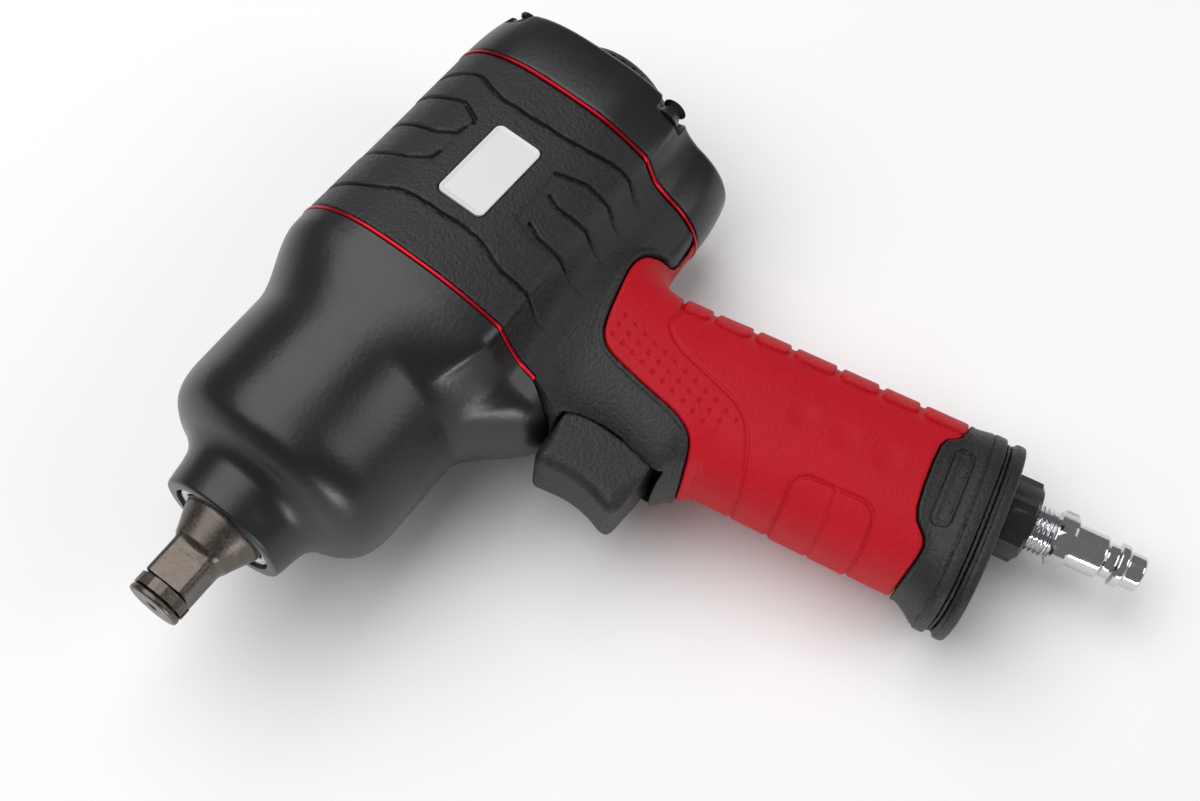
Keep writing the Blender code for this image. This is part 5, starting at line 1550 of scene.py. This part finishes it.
def camera_matrix(place, look, right, down):
    """Camera frame from directions in the tool's frame."""
    turn = TOOL.to_3x3() @ Matrix((right, [-v for v in down], [-v for v in look])).transposed()
    columns = [column.normalized() for column in turn.col]
    return Matrix.Translation(TOOL @ Vector(place)) @ Matrix(columns).transposed().to_4x4()


def soft_light(name, place, size, power, target):
    """A rectangular soft light that faces the target."""
    light = bpy.data.lights.new(name, "AREA")
    light.shape = "RECTANGLE"
    light.size, light.size_y = size
    light.energy = power
    lamp = bpy.data.objects.new(name, light)
    lamp.location = place
    lamp.rotation_euler = (Vector(target) - Vector(place)).to_track_quat("-Z", "Y").to_euler()
    bpy.context.scene.collection.objects.link(lamp)


FLOOR_REACH = 3.0             # metres
FILL_SHARE = 0.6              # of the side light's power


class WRENCH_OT_stage(BuildsPieces, bpy.types.Operator):
    """Add the floor, the lights and the camera"""
    bl_idname = "wrench.stage"
    bl_label = "Stage"

    def build(self, scene, sizes):
        studio = scene.wrench_studio
        scene.view_settings.view_transform = "Standard"
        low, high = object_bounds()
        middle = (Vector(low) + Vector(high)) / 2
        mesh = bpy.data.meshes.new("floor")
        corners = [(a * FLOOR_REACH, b * FLOOR_REACH, 0) for a, b in ((-1, -1), (1, -1), (1, 1), (-1, 1))]
        mesh.from_pydata(corners, [], [(0, 1, 2, 3)])
        floor = bpy.data.objects.new("floor", mesh)
        scene.collection.objects.link(floor)
        paper = grained("White paper", studio.floor_colour, 0.004, 0.9, 0.05, 2.0, 0.005)
        floor.data.materials.append(paper)
        floor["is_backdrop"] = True
        camera = bpy.data.objects.new("camera", bpy.data.cameras.new("camera"))
        camera.data.lens = studio.focal_length
        camera.data.sensor_width = 36.0
        camera.matrix_world = camera_matrix(CAMERA_PLACE, CAMERA_LOOK, CAMERA_RIGHT, CAMERA_DOWN)
        scene.collection.objects.link(camera)
        scene.camera = camera
        right, up, back = (camera.matrix_world.col[k].to_3d() for k in range(3))
        for name, place, size, power in (("key", (-0.35, 0.55, 0.75), (1.5, 1.0), studio.key_power),
                                         ("side", (0.10, -0.85, 0.35), (0.5, 0.25), studio.side_power),
                                         ("fill", (0.9, 0.1, 0.6), (0.5, 0.8),
                                          studio.side_power * FILL_SHARE)):
            away = right * place[0] + up * place[1] + back * place[2]
            soft_light(name, middle + away, size, power, middle)
        world = bpy.data.worlds.new("studio")
        world.use_nodes = True
        world.node_tree.nodes["Background"].inputs["Color"].default_value = (1, 1, 1, 1)
        world.node_tree.nodes["Background"].inputs["Strength"].default_value = studio.world_level
        scene.world = world


OPERATORS = (WRENCH_OT_inner_finishes, WRENCH_OT_hammer_case, WRENCH_OT_anvil, WRENCH_OT_motor_housing,
             WRENCH_OT_badge, WRENCH_OT_seals, WRENCH_OT_rear_cap, WRENCH_OT_case_screws, WRENCH_OT_dial,
             WRENCH_OT_trigger, WRENCH_OT_throttle_spring, WRENCH_OT_rubber_grip,
             WRENCH_OT_handle_base, WRENCH_OT_air_inlet, WRENCH_OT_stage)
SETTINGS = (("wrench_looks", WrenchLooks), ("wrench_sizes", WrenchSizes), ("wrench_studio", WrenchStudio))


class WRENCH_PT_pieces(bpy.types.Panel):
    """Lists the settings and one button for each piece"""
    bl_idname = "WRENCH_PT_pieces"
    bl_label = "Air impact wrench"
    bl_space_type = "VIEW_3D"
    bl_region_type = "UI"
    bl_category = "Wrench"

    def draw(self, context):
        for name, group in SETTINGS:
            box = self.layout.box()
            for label in group.__annotations__:
                box.prop(getattr(context.scene, name), label)
        for operator in OPERATORS:
            self.layout.operator(operator.bl_idname)


def register():
    """Register the settings, the operators and the panel."""
    for name, group in SETTINGS:
        bpy.utils.register_class(group)
        setattr(bpy.types.Scene, name, PointerProperty(type=group))
    for cls in (*OPERATORS, WRENCH_PT_pieces):
        bpy.utils.register_class(cls)


def unregister():
    """Take everything out again."""
    for cls in (WRENCH_PT_pieces, *reversed(OPERATORS)):
        bpy.utils.unregister_class(cls)
    for name, group in reversed(SETTINGS):
        delattr(bpy.types.Scene, name)
        bpy.utils.unregister_class(group)


def main():
    """Register the settings and operators, then build every piece and the stage."""
    register()
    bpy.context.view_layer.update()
    for operator in OPERATORS:
        category, name = operator.bl_idname.split(".")
        getattr(getattr(bpy.ops, category), name)()


if __name__ == "__main__":
    main()
